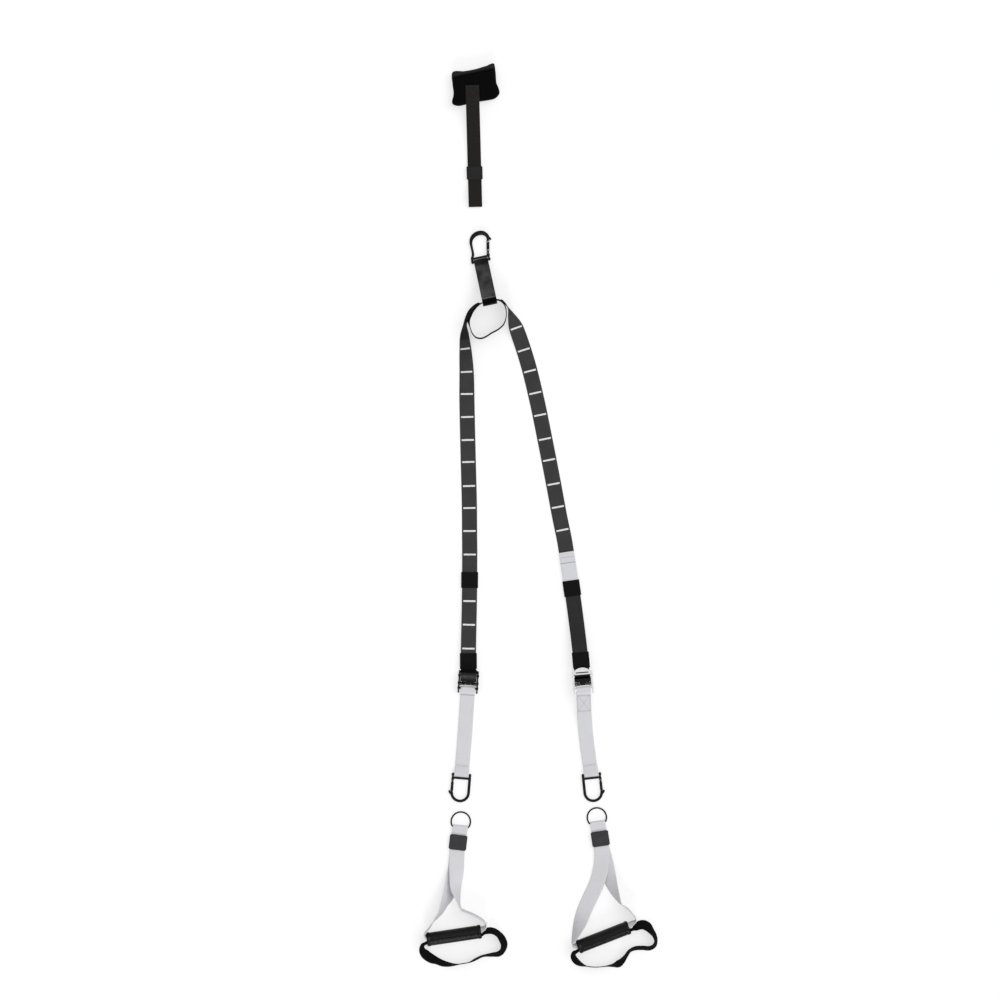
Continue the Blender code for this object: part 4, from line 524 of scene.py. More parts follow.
def woven(name, colour, rib=0.0013, pick=0.0017, relief=0.00022, spread=0.3, shine=0.1,
          sheen=0.04, patch=(16.0, 1.0)):
    """Webbing in its own map: ribs across it, each rib a column of slanting threads one pick
    apart, its height one minus the square of the distance from its middle. Noise shades the
    cloth, patch being its scale and its strength, and finer noise flecks it."""
    made, tree, shader = surface(name, colour, 0.82, Specular_IOR_Level=shine, Sheen_Weight=sheen)
    axes = map_axes(tree)
    side = zigzag(tree, calc(tree, "DIVIDE", axes[0], rib))
    slant = calc(tree, "DIVIDE", axes[1], pick)
    slant = calc(tree, "ADD", slant, calc(tree, "MULTIPLY", side, 0.6))
    crown = calc(tree, "SUBTRACT", 1.0, calc(tree, "MULTIPLY", side, side))
    height = weighed(tree, (crown, 0.6), (zigzag(tree, slant), 0.4))
    place = on_piece(tree)
    tone = weighed(tree, (noise(tree, place, patch[0], 3.0), patch[1]), plus=0.5 - patch[1] / 2)
    fleck = noise(tree, place, 700.0, 2.0)
    # Painted shade from the weave's height: the colour is darker in the hollows between ribs and
    # threads and lighter on their crowns.
    share = weighed(tree, (height, 0.5), (tone, 0.35), (fleck, 0.15))
    shades = toned(tree, share, colour, 1 - spread, 1 + spread)
    tree.links.new(shades, shader.inputs["Base Color"])
    embossed(tree, shader, height, relief, 0.5)
    return made


def banded(made, bands, soft=0.0012):
    """Bands of another tone across a strap. Each holds the middle and half length of its run
    along the map and what the colour is multiplied by there; its edges fade over soft."""
    tree = made.node_tree
    shader = tree.nodes["Principled BSDF"]
    along = map_axes(tree)[1]
    total = 1.0
    for middle, half, tone in bands:
        off = calc(tree, "ABSOLUTE", calc(tree, "SUBTRACT", along, middle))
        inside = calc(tree, "DIVIDE", calc(tree, "SUBTRACT", half + soft / 2, off), soft)
        inside = calc(tree, "MINIMUM", calc(tree, "MAXIMUM", inside, 0.0), 1.0)
        total = calc(tree, "ADD", total, calc(tree, "MULTIPLY", inside, tone - 1))
    base = shader.inputs["Base Color"].links[0].from_socket
    scaled = wired(tree, "ShaderNodeVectorMath", {0: base, "Scale": total}, operation="SCALE")
    tree.links.new(scaled.outputs[0], shader.inputs["Base Color"])
    return made


def thread(name, colour):
    """Sewing thread: its twist shows as fine slanting lines 0.4 mm apart."""
    made, tree, shader = surface(name, colour, 0.6, Specular_IOR_Level=0.2, Sheen_Weight=0.05)
    twist = waves(tree, on_piece(tree), 420.0, 1.0)
    tree.links.new(toned(tree, twist, colour, 0.75, 1.15), shader.inputs["Base Color"])
    embossed(tree, shader, twist, 0.0001)
    return made


def on_strap(rows, v, u, h):
    """Points on a strap: v metres along its route, u across it and h above its middle."""
    places, across, _ = rows
    distance = travelled(places)
    v, u, h = np.broadcast_arrays(v, u, h)

    def between(columns):
        return np.stack([np.interp(v, distance, columns[:, k]) for k in range(3)], -1)

    beside = between(places) + between(across) * u[..., None]
    return beside + between(faces_up(rows)) * h[..., None]


def sewn(rows, runs, face=1.0, pitch=0.0032, width=0.0005):
    """Rows of stitches on a strap. Each run goes straight from one (across, along) to another,
    and its thread is a thin round bead that swells and dips with each stitch."""
    shells = []
    for u1, v1, u2, v2 in runs:
        length = hypot(u2 - u1, v2 - v1)
        t = np.linspace(0, 1, max(8, int(8 * length / pitch)))
        phase = np.abs(np.sin(pi * t * max(1, round(length / pitch)))) ** 0.6
        angle = round_angles(6)
        size = (width * (0.35 + 0.65 * phase))[:, None]
        side = size * np.cos(angle) * face
        u = (u1 + (u2 - u1) * t)[:, None] - side * (v2 - v1) / length
        v = (v1 + (v2 - v1) * t)[:, None] + side * (u2 - u1) / length
        h = face * (WEB_THICK / 2 + size * 0.7 * np.sin(angle) - 0.0001)
        shells.append((on_strap(rows, v, u, h), False))
    return shells


def rows_across(half, *places):
    """Runs straight across a strap, one at each place along it."""
    return [(-half, at, half, at) for at in places]


def crossed_box(half, start, end):
    """The runs of a sewn box with a cross in it."""
    return [(-half, start, half, start), (half, start, half, end), (half, end, -half, end),
            (-half, end, -half, start), (-half, start, half, end), (half, start, -half, end)]


bottom = WEB_THICK / 2
wall = SLEEVE_WALL + SEAT_GAP
on_pad = PAD_THICK + SEAT_GAP + bottom
pad_edge = DOOR_STRAP_LENGTH - PAD_NEAR_SHARE * PAD_LENGTH
above = bottom + wall + LAYER
sleeve_ends = [DOOR_SLEEVE_DROP + share * DOOR_SLEEVE_LENGTH for share in (0.5, 0, -0.5)]
door_side = [
    (DOOR_STRAP_LENGTH - DOOR_END_TUCK, on_pad),
    *[(pad_edge + ahead * PAD_LENGTH, share * on_pad) for ahead, share in (
        (0.3, 1), (0.1, 1), (0, 0.985), (-0.1, 0.87), (-0.25, 0.64), (-0.5, 0.42), (-0.85, 0.26))],
    (DOOR_RETURN + DOOR_EYE_RADIUS, above), *[(at, above) for at in sleeve_ends],
    *[(ahead * DOOR_EYE_LENGTH, share * DOOR_EYE_HEIGHT) for ahead, share in (
        (0.72, 0.85), (0.5, 1), (0.22, 0.92))],
    *bend((DOOR_EYE_RADIUS, bottom + DOOR_EYE_RADIUS), DOOR_EYE_RADIUS, 120, 270, 8),
    *[(ahead * DOOR_EYE_LENGTH, bottom) for ahead in (0.1, 0.4, 0.8)],
    *[(at, bottom + wall) for at in (sleeve_ends[2], sleeve_ends[1], DOOR_RETURN)],
]
door_route = eased(door_side, STRAP_STEP)
door_route[:, 1] = np.maximum(door_route[:, 1], bottom)
door_rows = from_side(DOOR_PLACE, DOOR_TURN, door_route)
black_web = woven("black webbing", BLACK_WEB)
black_thread = thread("black thread", BLACK_THREAD)
door_strap = skin("door_strap_webbing", [carried(door_rows, DOOR_WEB_WIDTH)], black_web)
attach(door_strap, "door_anchor")
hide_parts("door_strap")
door_runs = crossed_box(DOOR_WEB_WIDTH / 2 - 0.0035, 0.003, 0.036)
door_seams = skin("door_strap_stitching", sewn(door_rows, door_runs), black_thread)
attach(door_seams, "door_anchor")


# The door sleeve: a short band of dark rubbery tape round both layers of the door strap. The
# real one's label is left bare: a plain patch with rounded corners and a sunken border.
BAND_CORNER = 0.0012
SLEEVE_SIDE_GAP = 0.0018
LABEL_DARK = (0.037, 0.037, 0.040)
LABEL_BLACK = (0.012, 0.012, 0.012)
PATCH_HEIGHT = 0.0009
BAND_SHORT = 0.0025


def band(place, turn, inner_width, inner_height, length, wall):
    """A closed band round a strap: its section is carried round a rounded rectangle."""
    half_x, half_z = inner_width / 2 + wall / 2, inner_height / 2 + wall / 2
    round_x, round_z = half_x - BAND_CORNER, half_z - BAND_CORNER
    outline = np.vstack([bend((x * round_x, z * round_z), BAND_CORNER, start, start + 90, 7)
                         for x, z, start in ((1, 1, 0), (-1, 1, 90), (-1, -1, 180), (1, -1, 270))])
    places = set_at(place, turn, flush(outline[:, 0], 0, outline[:, 1] + place[2]))
    across = np.tile((sin(turn), -cos(turn), 0.0), (len(places), 1))
    return carried((places, across, np.zeros(len(places))), length, wall, cells=10, looped=True)


def tablet(place, turn, half_x, half_y, corner, section):
    """A rounded plate: its outline's rings are drawn in by each inset and set at each height."""
    inset, height = np.array(section).T[:, :, None]
    angle = np.radians([np.linspace(s, s + 90, 9) for s in (0, 90, 180, 270)]).reshape(1, -1)
    quarter = np.repeat(np.arange(4), 9)[None, :]
    way_x, way_y = np.array((1, -1, -1, 1))[quarter], np.array((1, 1, -1, -1))[quarter]
    radius = np.maximum(corner - inset, 0.0003)
    x = way_x * (half_x - inset - radius) + radius * np.cos(angle)
    y = way_y * (half_y - inset - radius) + radius * np.sin(angle)
    return set_at(place, turn, flush(x, y, height + place[2])), False


def rubbery(name, colour, rough=0.55):
    """Moulded rubbery tape: fine pitting under a soft sheen."""
    made, tree, shader = surface(name, colour, rough, Specular_IOR_Level=0.15, Sheen_Weight=0.02)
    place = on_piece(tree)
    tone = noise(tree, place, 60.0, 3.0)
    tree.links.new(toned(tree, tone, colour, 0.7, 1.3), shader.inputs["Base Color"])
    tree.links.new(weighed(tree, (tone, 0.2), plus=rough - 0.1), shader.inputs["Roughness"])
    embossed(tree, shader, noise(tree, place, 1500.0, 2.0), 0.00008, 0.5)
    return made


def patch_section(height):
    """A patch's rings, as inset and height: a rounded edge, a border sunk 0.3 mm and a plain
    face."""
    sunk = height - 0.0003
    return ((0.0004, -0.0004), (0.0, 0.0), (0.0, sunk), (0.0003, height), (0.0016, height),
            (0.0018, sunk), (0.0024, sunk), (0.0026, height), (0.006, height))


sleeve_middle = SLEEVE_WALL + SEAT_GAP + WEB_THICK + SEAT_GAP / 2
sleeve_height = WEB_THICK + LAYER + 2 * SEAT_GAP
sleeve_top = sleeve_height / 2 + SLEEVE_WALL


def sleeve_shells(place, turn, width, length, corner):
    """A label sleeve on a strap of this width: its band, and the bare patch on its face."""
    around = band(place, turn, width + 2 * SLEEVE_SIDE_GAP, sleeve_height,
                  length - 2 * BAND_SHORT, SLEEVE_WALL)
    patch = tablet(place + (0, 0, sleeve_top), turn, width / 2 + SLEEVE_SIDE_GAP + SLEEVE_WALL,
                   length / 2, corner, patch_section(PATCH_HEIGHT))
    return [around, patch]


door_label = rubbery("black label tape", LABEL_BLACK)
door_sleeve_place = set_at(DOOR_PLACE, DOOR_TURN, (0, DOOR_SLEEVE_DROP, sleeve_middle))
door_sleeve = skin("door_sleeve_band", sleeve_shells(
    door_sleeve_place, DOOR_TURN, DOOR_WEB_WIDTH, DOOR_SLEEVE_LENGTH, 0.004), door_label)
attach(door_sleeve, "door_anchor")
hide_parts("door_sleeve")


# The carabiner: a pear-shaped hook of forged steel, finished black. Two ears hold its strap pin,
# and a sprung gate bar with two bright beads turns on a rivet in the forked post.
PIN_RADIUS = 0.0025
BRIDGE_WIDTH = 0.036
PIN_FOLD = PIN_RADIUS + SEAT_GAP + WEB_THICK / 2
EAR_THICK = 0.0048
EAR_RADIUS = 0.0046
EAR_INNER = BRIDGE_WIDTH / 2 + 0.0008
POST_X = EAR_INNER + EAR_THICK / 2
CROSSBAR_RISE = 0.008
CROSSBAR_RADIUS = 0.0029
WIRE_SWELL = 1.1
HINGE_RISE = 0.014
POST_TOP = 0.0026
TONGUE_THICK = 0.0022
TONGUE_HALF = 0.0024
SLOT_CLEAR = 0.0003
GATE_START = 0.0048
GATE_BEAD = 0.0004
BEAD_LENGTH = 0.0022
GATE_TIP_GAP = 0.0005
POST_NECK = 0.0092
SPUR_RADIUS = 0.002
SPUR_SHARES = (1.45, 1.2)
SPUR_BEND = 0.0051
SPUR_OUT = 0.0068
SPUR_BACK = 0.003
CARABINER_GATE = 0.0038
CARABINER_GATE_LEAN = radians(11.6)
CARABINER_GATE_LENGTH = 0.0368
NOSE_STRAIGHT = 0.0022
CARABINER_OUTLINE = (
    (0.418, 0.835, 1.4), (0.376, 0.90, 1.55), (0.301, 0.965, 1.75), (0.206, 0.998, 1.85),
    (0.088, 1.0, 1.85), (-0.022, 0.97, 1.8), (-0.118, 0.905, 1.65), (-0.188, 0.816, 1.4),
    (-0.223, 0.706, 1.2), (-0.229, 0.56, 1.0), (-0.229, 0.382, 1.0), (-0.241, 0.25, 1.05),
    (-0.306, 0.13, 1.0),
)
HARDWARE_BLACK = (0.0065, 0.0065, 0.0068)
STEEL = (0.42, 0.42, 0.43)


def rod(path, radius, domed=True, sides=24, cut=None):
    """A round bar: a circle square to the path is set at every place, its radius given row by
    row, and rings that close in like a dome end it. Cut keeps the part above that height."""
    path = np.asarray(path, float)
    radius = np.broadcast_to(np.asarray(radius, float), len(path)).copy()
    if domed:
        rise = np.radians((90, 75, 55, 30))
        first = (path[0] - path[1]) / np.linalg.norm(path[0] - path[1])
        last = (path[-1] - path[-2]) / np.linalg.norm(path[-1] - path[-2])
        rim = np.cos(rise) + 0.02
        head = path[0] + first * (radius[0] * np.sin(rise))[:, None] * 0.35
        tail = path[-1] + last * (radius[-1] * np.sin(rise[::-1]))[:, None] * 0.35
        path = np.vstack((head, path, tail))
        radius = np.concatenate((radius[0] * rim, radius, radius[-1] * rim[::-1]))
    heading = np.gradient(path, axis=0)
    level = np.linalg.norm(heading, axis=1) < 1e-9
    heading[level] = np.roll(heading, 1, 0)[level]
    heading = unit(heading)
    side = unit(np.cross((0.0, 0.0, 1.0), heading))
    rise = np.cross(heading, side)
    angle = round_angles(sides)[..., None]
    size = radius[:, None, None]
    across, height = size * np.cos(angle), size * np.sin(angle)
    if cut is not None:
        chord = np.sqrt(np.maximum(size**2 - cut**2, 1e-8))
        height = np.maximum(height, min(cut, size.min() * 0.9))
        across = np.clip(across, -chord, chord)
    return path[:, None] + side[:, None] * across + rise[:, None] * height, False


def fork_side(path, radius, cut, way, sides=24):
    """One prong of the forked post: the slice of a round bar beyond the slot's wall."""
    grid, _ = rod(path, radius, False, sides, cut)
    if way < 0:
        grid = grid * (1, 1, -1)
        grid = grid[:, ::-1]
    return grid, False


def frame_of(place, turn, tip, over=0.0):
    """A hook's frame: turned over, tipped and turned about the upright axis, then moved."""
    turned = Matrix.Rotation(turn, 4, "Z") @ Matrix.Rotation(-tip, 4, "X")
    return Matrix.Translation(place) @ (turned @ Matrix.Rotation(over, 4, "Y"))


def placed(matrix, shells):
    """Shells drawn in a hook's own frame, where it lies."""
    turned = np.array(matrix)
    return [(points @ turned[:3, :3].T + turned[:3, 3], *rest) for points, *rest in shells]


def satin_metal(name, colour, rough, metallic, wear, shine=0.5):
    """Coated metal: faint casting grain, and polish that changes slowly over its surface. Wear
    is how much lighter its most rubbed spots are, and shine is its specular level."""
    made, tree, shader = surface(name, colour, rough, Metallic=metallic, Specular_IOR_Level=shine)
    place = on_piece(tree)
    rub = noise(tree, place, 120.0, 5.0)
    worn = blended(tree, calc(tree, "POWER", rub, 2.5), colour, tuple(c + wear for c in colour))
    tree.links.new(worn, shader.inputs["Base Color"])
    tree.links.new(weighed(tree, (rub, 0.2), plus=rough - 0.1), shader.inputs["Roughness"])
    embossed(tree, shader, noise(tree, place, 900.0, 3.0), 0.00006, 0.4)
    return made


black_metal = satin_metal("black satin metal", HARDWARE_BLACK, 0.3, 0.0, 0.012, 0.1)
steel_metal = satin_metal("bright steel", STEEL, 0.28, 1.0, 0.2)


def gate_shells(radius, length):
    """A gate bar along +Y from its hinge: a flat tongue, a round bar and a domed tip."""
    tip = length - radius
    dome = np.radians((0, 22, 45, 68, 86))
    root = GATE_START + 0.001
    stations = [(GATE_START, 0.6 * radius), (GATE_START + 0.0002, 0.85 * radius), (root, radius)]
    stations += [(tip + radius * sin(a), radius * cos(a)) for a in dome]
    along, size = np.array(stations).T
    bar = rod(flush(0, along, 0), size, False, 28)
    tongue = np.vstack((bend((0, 0), TONGUE_HALF, 180, 360, 12),
                        [(TONGUE_HALF, root), (-TONGUE_HALF, root)]))
    levels = np.array((-1, 1)) * TONGUE_THICK / 2
    plate = flush(tongue[None, :, 0], tongue[None, :, 1], levels[:, None])
    return [bar, (plate, False)]


def bead_shells(radius, length):
    """The two bright rings pressed on a gate bar, one near each end, with rounded edges."""
    rim = np.array((0, 0.0002, 0.0005, BEAD_LENGTH - 0.0005, BEAD_LENGTH - 0.0002, BEAD_LENGTH))
    size = radius + GATE_BEAD * np.array((-0.5, 0.6, 1, 1, 0.6, -0.5))
    return [rod(flush(0, start + rim, 0), size, False, 28)
            for start in (GATE_START + BEAD_LENGTH, length - radius - 2 * BEAD_LENGTH)]


def hook_shells(path, radii, gate_radius, spur):
    """The hook's body: bent bar, crossbar, two ears, a post forked round the gate's tongue and
    the nose spur. The bar is drawn a little thicker than its given radii."""
    prong = TONGUE_THICK / 2 + SLOT_CLEAR
    fork_floor = HINGE_RISE - TONGUE_HALF - 2 * SEAT_GAP
    fork_top = HINGE_RISE + POST_TOP
    ear_x = np.array((-0.5, -0.46, -0.38, 0.38, 0.46, 0.5)) * EAR_THICK
    ear_r = EAR_RADIUS * np.array((0.86, 0.95, 1, 1, 0.95, 0.86))
    crossbar = [(way * POST_X, CROSSBAR_RISE, 0) for way in (-1, 1)]
    shells = [rod(path, WIRE_SWELL * np.asarray(radii)), rod(crossbar, CROSSBAR_RADIUS, False)]
    shells += [rod(flush(way * POST_X + ear_x, 0, 0), ear_r, False, 32) for way in (-1, 1)]
    levels = (EAR_RADIUS / 3, PIN_FOLD + WEB_THICK, POST_NECK, fork_floor - 0.0002, fork_floor)
    sizes = (EAR_THICK / 2,) * 2 + (gate_radius,) * 3
    shells.append(rod(flush(POST_X, levels, 0), sizes, False))
    prongs = flush(POST_X, (fork_floor - 0.001, HINGE_RISE, fork_top - 0.0006, fork_top), 0)
    sizes = gate_radius * np.array((1, 1, 0.94, 0.8))
    shells += [fork_side(prongs, sizes, prong, way) for way in (1, -1)]
    spur = eased(spur, 0.001)
    shells.append(rod(spur, np.linspace(*SPUR_SHARES, len(spur)) * SPUR_RADIUS))
    return shells


pin_height = WEB_THICK / 2 + PIN_FOLD
crown = CARABINER_WIRE * max(share for _, _, share in CARABINER_OUTLINE)
carabiner_tip = asin((pin_height - crown) / CARABINER_REACH)
carabiner_frame = frame_of((*PIN_PLACE, pin_height), ANCHOR_TURN, carabiner_tip)
gate_way = np.array((sin(CARABINER_GATE_LEAN), cos(CARABINER_GATE_LEAN), 0))
gate_side = np.array((gate_way[1], -gate_way[0], 0))
hinge = np.array((POST_X, HINGE_RISE, 0))
nose = hinge + gate_way * (CARABINER_GATE_LENGTH + GATE_TIP_GAP)
x, y, share = np.array(CARABINER_OUTLINE).T
pear = flush(x * CARABINER_REACH, y * CARABINER_REACH, 0, share)
gate_share = CARABINER_GATE / CARABINER_WIRE
pear = np.vstack(((*nose, gate_share), (*(nose + gate_way * NOSE_STRAIGHT), gate_share), pear,
                  (-POST_X, 0, 0, EAR_THICK / 2 / CARABINER_WIRE)))
pear = eased(pear, 0.002)
nose_spur = np.array((nose + gate_way * CARABINER_GATE, nose + gate_side * SPUR_BEND,
                      nose + gate_side * SPUR_OUT - gate_way * SPUR_BACK))
carabiner = skin("carabiner_forging", placed(carabiner_frame, hook_shells(
    pear[:, :3], pear[:, 3] * CARABINER_WIRE, CARABINER_GATE, nose_spur)), black_metal)
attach(carabiner, "carabiner")
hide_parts("carabiner_body")
gate_frame = carabiner_frame @ Matrix.Translation(hinge)
gate_frame = gate_frame @ Matrix.Rotation(-CARABINER_GATE_LEAN, 4, "Z")
carabiner_gate = skin("carabiner_gate_bar", placed(gate_frame, gate_shells(
    CARABINER_GATE, CARABINER_GATE_LENGTH)), black_metal)
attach(carabiner_gate, "carabiner_gate")
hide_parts("carabiner_gate")
gate_beads = skin("carabiner_gate_beads", placed(gate_frame, bead_shells(
    CARABINER_GATE, CARABINER_GATE_LENGTH)), steel_metal)
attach(gate_beads, "carabiner_gate")


def dressed(node, finish):
    """Gives a carried-over node its finish; its loose triangles are joined, then split again at
    sharp edges, and the rest is smoothed."""
    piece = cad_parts[node]
    if not piece.material_slots:
        piece.data.materials.append(finish)
    for place in piece.material_slots:
        place.material = finish
    join = piece.modifiers.new("Join", "WELD")
    join.merge_threshold = 0.00001
    split = piece.modifiers.new("Split", "EDGE_SPLIT")
    split.split_angle = radians(38)
    piece.data.polygons.foreach_set("use_smooth", np.ones(len(piece.data.polygons), bool))
    return piece


dressed("carabiner_gate_pin", steel_metal)
dressed("carabiner_strap_pin", black_metal)


# The anchor strap: a loop of 36 mm dark grey webbing, sewn near both ends. It goes round the
# carabiner's pin and over the standing ring, and its top layer is a little crumpled.
LEG_WIDTH = 0.038
EYE_HALF = 0.007
ANCHOR_ROUND = 0.004
DARK_WEB = (0.0432, 0.0427, 0.0432)
DARK_THREAD = (0.05, 0.048, 0.05)
DARK_LOOK = {"shine": 0.03, "sheen": 0.0}
WRINKLE = 0.0007
WRINKLE_START = 0.012
WRINKLE_WAVE = 0.034
WRINKLE_DRIFT = 0.055
SEAM_PITCH = 0.003

floor_layer = WEB_THICK / 2
pin_axis = floor_layer + PIN_FOLD
over = LAYER + LEG_WIDTH + SEAT_GAP + WEB_THICK / 2
far = -ANCHOR_LENGTH - EYE_HALF
near = -ANCHOR_LENGTH + EYE_HALF
rise = over - pin_axis - PIN_FOLD
anchor_side = np.vstack((
    bend((0, pin_axis), PIN_FOLD, -90, 100),
    [(share * near, pin_axis + PIN_FOLD + share * rise) for share in (0.25, 0.6)],
    [(near, over), (-ANCHOR_LENGTH, over + SEAT_GAP)],
    bend((far + ANCHOR_ROUND, over - ANCHOR_ROUND), ANCHOR_ROUND, 90, 180, 8),
    bend((far + ANCHOR_ROUND, floor_layer + ANCHOR_ROUND), ANCHOR_ROUND, 180, 270, 8),
    [(-ANCHOR_LENGTH, floor_layer), (0.6 * near, floor_layer), (0.1 * near, floor_layer)],
))
anchor_length = travelled(anchor_side, True)
fine = np.linspace(0, anchor_length[-1], 170)[:-1]
looped_side = np.vstack((anchor_side, anchor_side[0]))
anchor_fine = flush(*[np.interp(fine, anchor_length, column) for column in looped_side.T])
anchor_rows = from_side(PIN_PLACE, ANCHOR_TURN, anchor_fine)
dark_thread = thread("dark grey thread", DARK_THREAD)
v, height = anchor_fine.T
on_top = (height > pin_axis + PIN_FOLD) & (v < -WRINKLE_START) & (v > near)
swell = on_top * WRINKLE * np.sin(pi * (v + WRINKLE_START) / (near + WRINKLE_START))
drift = 2.2 * np.sin(2 * pi * v / WRINKLE_DRIFT)
wrinkle = swell * np.sin(2 * pi * v / WRINKLE_WAVE + drift)
low_layer = 9 * (height < pin_axis)
first_seam, last_seam = [float(fine[np.argmin(np.abs(v - at) + low_layer)])
                         for at in (-0.010, near)]
# Painted shade darkens the fold round the pin and the crest over the ring, and a painted highlight
# lightens a narrow band at the seam before the crest.
anchor_web = banded(woven("grey webbing with painted light and shade", tuple(c * 0.88 for c in DARK_WEB), spread=0.9,
                          patch=(38.0, 6.0), **DARK_LOOK), (
    (first_seam / 2, first_seam / 2 + 0.002, 0.3), (last_seam - 0.0015, 0.0014, 2.0),
    (last_seam + 0.007, 0.007, 0.05)))
anchor_grid = carried(anchor_rows, BRIDGE_WIDTH, looped=True, wave=wrinkle[:, None, None])
anchor = skin("anchor_strap_webbing", [anchor_grid], anchor_web)
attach(anchor, "main_strap")
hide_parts("anchor_strap")
seam_runs = rows_across(BRIDGE_WIDTH / 2 - 0.0025, first_seam, first_seam + SEAM_PITCH, last_seam,
                        last_seam - SEAM_PITCH)
anchor_seams = skin("anchor_strap_stitching", sewn(anchor_rows, seam_runs), dark_thread)
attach(anchor_seams, "main_strap")


# The equalizer ring: one loop of dark grey webbing that stands on its edge, so that the photo
# shows only its thin rim. It is sewn double where its ends meet.
RING_STEP = 0.006
RING_OUTLINE = (
    (-0.213, 0.377, 98, 1), (0.044, 0.439, 90, 1), (0.234, 0.483, 90, 1), (0.322, 0.46, 90, 0.7),
    (0.397, 0.4, 90, 0.3), (0.475, 0.182, 90, 0), (0.468, 0.026, 90, 0), (0.403, -0.156, 90, 0),
    (0.26, -0.286, 90, 0), (0.088, -0.379, 90, 0), (-0.026, -0.455, 90, 0), (-0.169, -0.514, 90, 0),
    (-0.312, -0.488, 90, 0), (-0.408, -0.379, 90, 0), (-0.46, -0.229, 90, 0),
    (-0.499, -0.052, 99, 0), (-0.468, 0.104, 107, 0), (-0.364, 0.26, 104, 0.4),
)


def resting(points, width, step, looped=False):
    """A strap that lies, leans or stands on the floor. Each row holds x, y, its lean in degrees,
    how far it is lifted and its curl; its middle is as high as half its width times the sine of
    the lean, so that its lower edge rests on the floor."""
    path = eased(points, step, looped)
    flat = path[:, :2]
    heading = unit(headings(flat, looped))
    lean = np.radians(path[:, 2])
    curl = path[:, 4]
    across = flush(-heading[:, 1] * np.cos(lean), heading[:, 0] * np.cos(lean), np.sin(lean))
    turn = np.maximum(np.abs(curl) * width / 2, 1e-9)
    reach = width / 2 * np.sin(np.minimum(turn, pi / 2)) / turn
    height = reach * np.abs(np.sin(lean)) + WEB_THICK / 2 * np.abs(np.cos(lean))
    return flush(flat[:, 0], flat[:, 1], height + np.maximum(path[:, 3], 0)), across, curl


x, y, lean, layers = np.array(RING_OUTLINE).T
ring_points = flush(RING_PLACE[0] + x * RING_SPAN, RING_PLACE[1] + y * RING_SPAN, lean,
                    layers * LAYER, 0)
ring_path = eased(ring_points, RING_STEP, True)
ring_rows = resting(ring_path, LEG_WIDTH, 0.003, True)
# Painted shade: the ring's webbing is drawn at a quarter of the dark grey's tone, for the shade on
# its standing faces.
ring_web = woven("ring webbing in painted shade", tuple(c * 0.25 for c in DARK_WEB), spread=0.5,
                 patch=(30.0, 3.0), **DARK_LOOK)
ring = skin("equalizer_ring_webbing", [carried(ring_rows, LEG_WIDTH, looped=True)], ring_web)
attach(ring, "main_strap")
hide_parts("equalizer_ring")


# The leg straps: 38 mm dark grey webbing, each from the ring to its buckle, round the pinch bar
# and back up as a tail. White bars are woven in every 58 mm as length marks.
LEG_DROP = 0.89125
SIDES = ("left", "right")
ROUTE = {
    "left": (
        (-0.0635, -0.013, 78), (-0.0655, -0.045, 56), (-0.063, -0.087, 38), (-0.06, -0.143, 21),
        (-0.059, -0.227, 3), (-0.056, -0.367, 0), (-0.052, -0.536, 0), (-0.0515, -0.62, 0),
    ),
    "right": (
        (0.0585, 0.027, -84), (0.0665, 0.007, -60), (0.081, -0.031, -12), (0.091, -0.059, -3),
        (0.109, -0.115, 0), (0.137, -0.227, 0), (0.16, -0.339, 0), (0.182, -0.452, 0),
        (0.203, -0.564, 0), (0.2145, -0.62, 0),
    ),
}
DOUBLED = {
    "left": (
        (-0.0511, -0.6535), (-0.0512, -0.675), (-0.0514, -0.732), (-0.0522, -0.80),
        (-0.0534, -0.86), (-0.0545, -0.915), (-0.0549, -0.95), (-0.0545, -0.9825),
    ),
    "right": (
        (0.220, -0.6535), (0.2235, -0.677), (0.235, -0.755), (0.242, -0.805), (0.249, -0.86),
        (0.2555, -0.915), (0.2595, -0.95), (0.2622, -0.981),
    ),
}
BAR_SHARE = {"left": (-0.054, -1.0), "right": (0.264, -1.0)}
BUCKLE_TURN = {"left": radians(-3.8), "right": radians(4.8)}
KEEPER_WALL = 0.0012
BAR_RADIUS = 0.003
BAR_FOLD = BAR_RADIUS + SEAT_GAP + WEB_THICK / 2
PLATE_OUTER = BAR_FOLD + WEB_THICK / 2 + SEAT_GAP + 0.0018
AXLE_DROP = 0.01875
AXLE_RISE = 0.002
TAB_REACH = 0.031
AXLE_TO_BAR = hypot(AXLE_DROP, AXLE_RISE)
LEVER_ANGLE = asin((BAR_FOLD + WEB_THICK / 2 - AXLE_RISE + SEAT_GAP) / AXLE_TO_BAR) + radians(14)
LEVER_HEIGHT = AXLE_RISE + TAB_REACH * sin(LEVER_ANGLE) + 0.0041 * cos(LEVER_ANGLE)
BAR_HEIGHT = {"left": PLATE_OUTER, "right": LEVER_HEIGHT + 0.0005}
MARK_PIXELS = {
    "left": (349, 372, 394, 417, 440, 462, 486, 508, 531, 554.5, 601, 624.6, 648.4),
    "right": (328, 350, 371, 393, 415, 439, 460, 484, 507, 530),
}
PIXEL = 0.0025
PIXEL_ZERO = 515.48
MARK_HALF = 0.0152
MARK_LENGTH = 0.0042
MARK_RISE = 0.0002
MARK_TOP = 0.475
MARK_WHITE = (0.80, 0.80, 0.79)
RING_CONTACT = {
    "left": ((-0.213, 0.377), (-0.468, 0.104), -1),
    "right": ((0.322, 0.46), (0.397, 0.4), 1),
}
# Painted shade on each leg beside the ring: each band's middle and half length along the leg, and
# the colour's factor there.
LEG_SHADE = {
    "left": ((0.02, 0.045, 0.04), (0.085, 0.02, 0.5)),
    "right": ((0.0, 0.02, 0.3), (0.035, 0.012, 0.8)),
}
TAIL_TONE = {"left": 1.0, "right": 0.6}


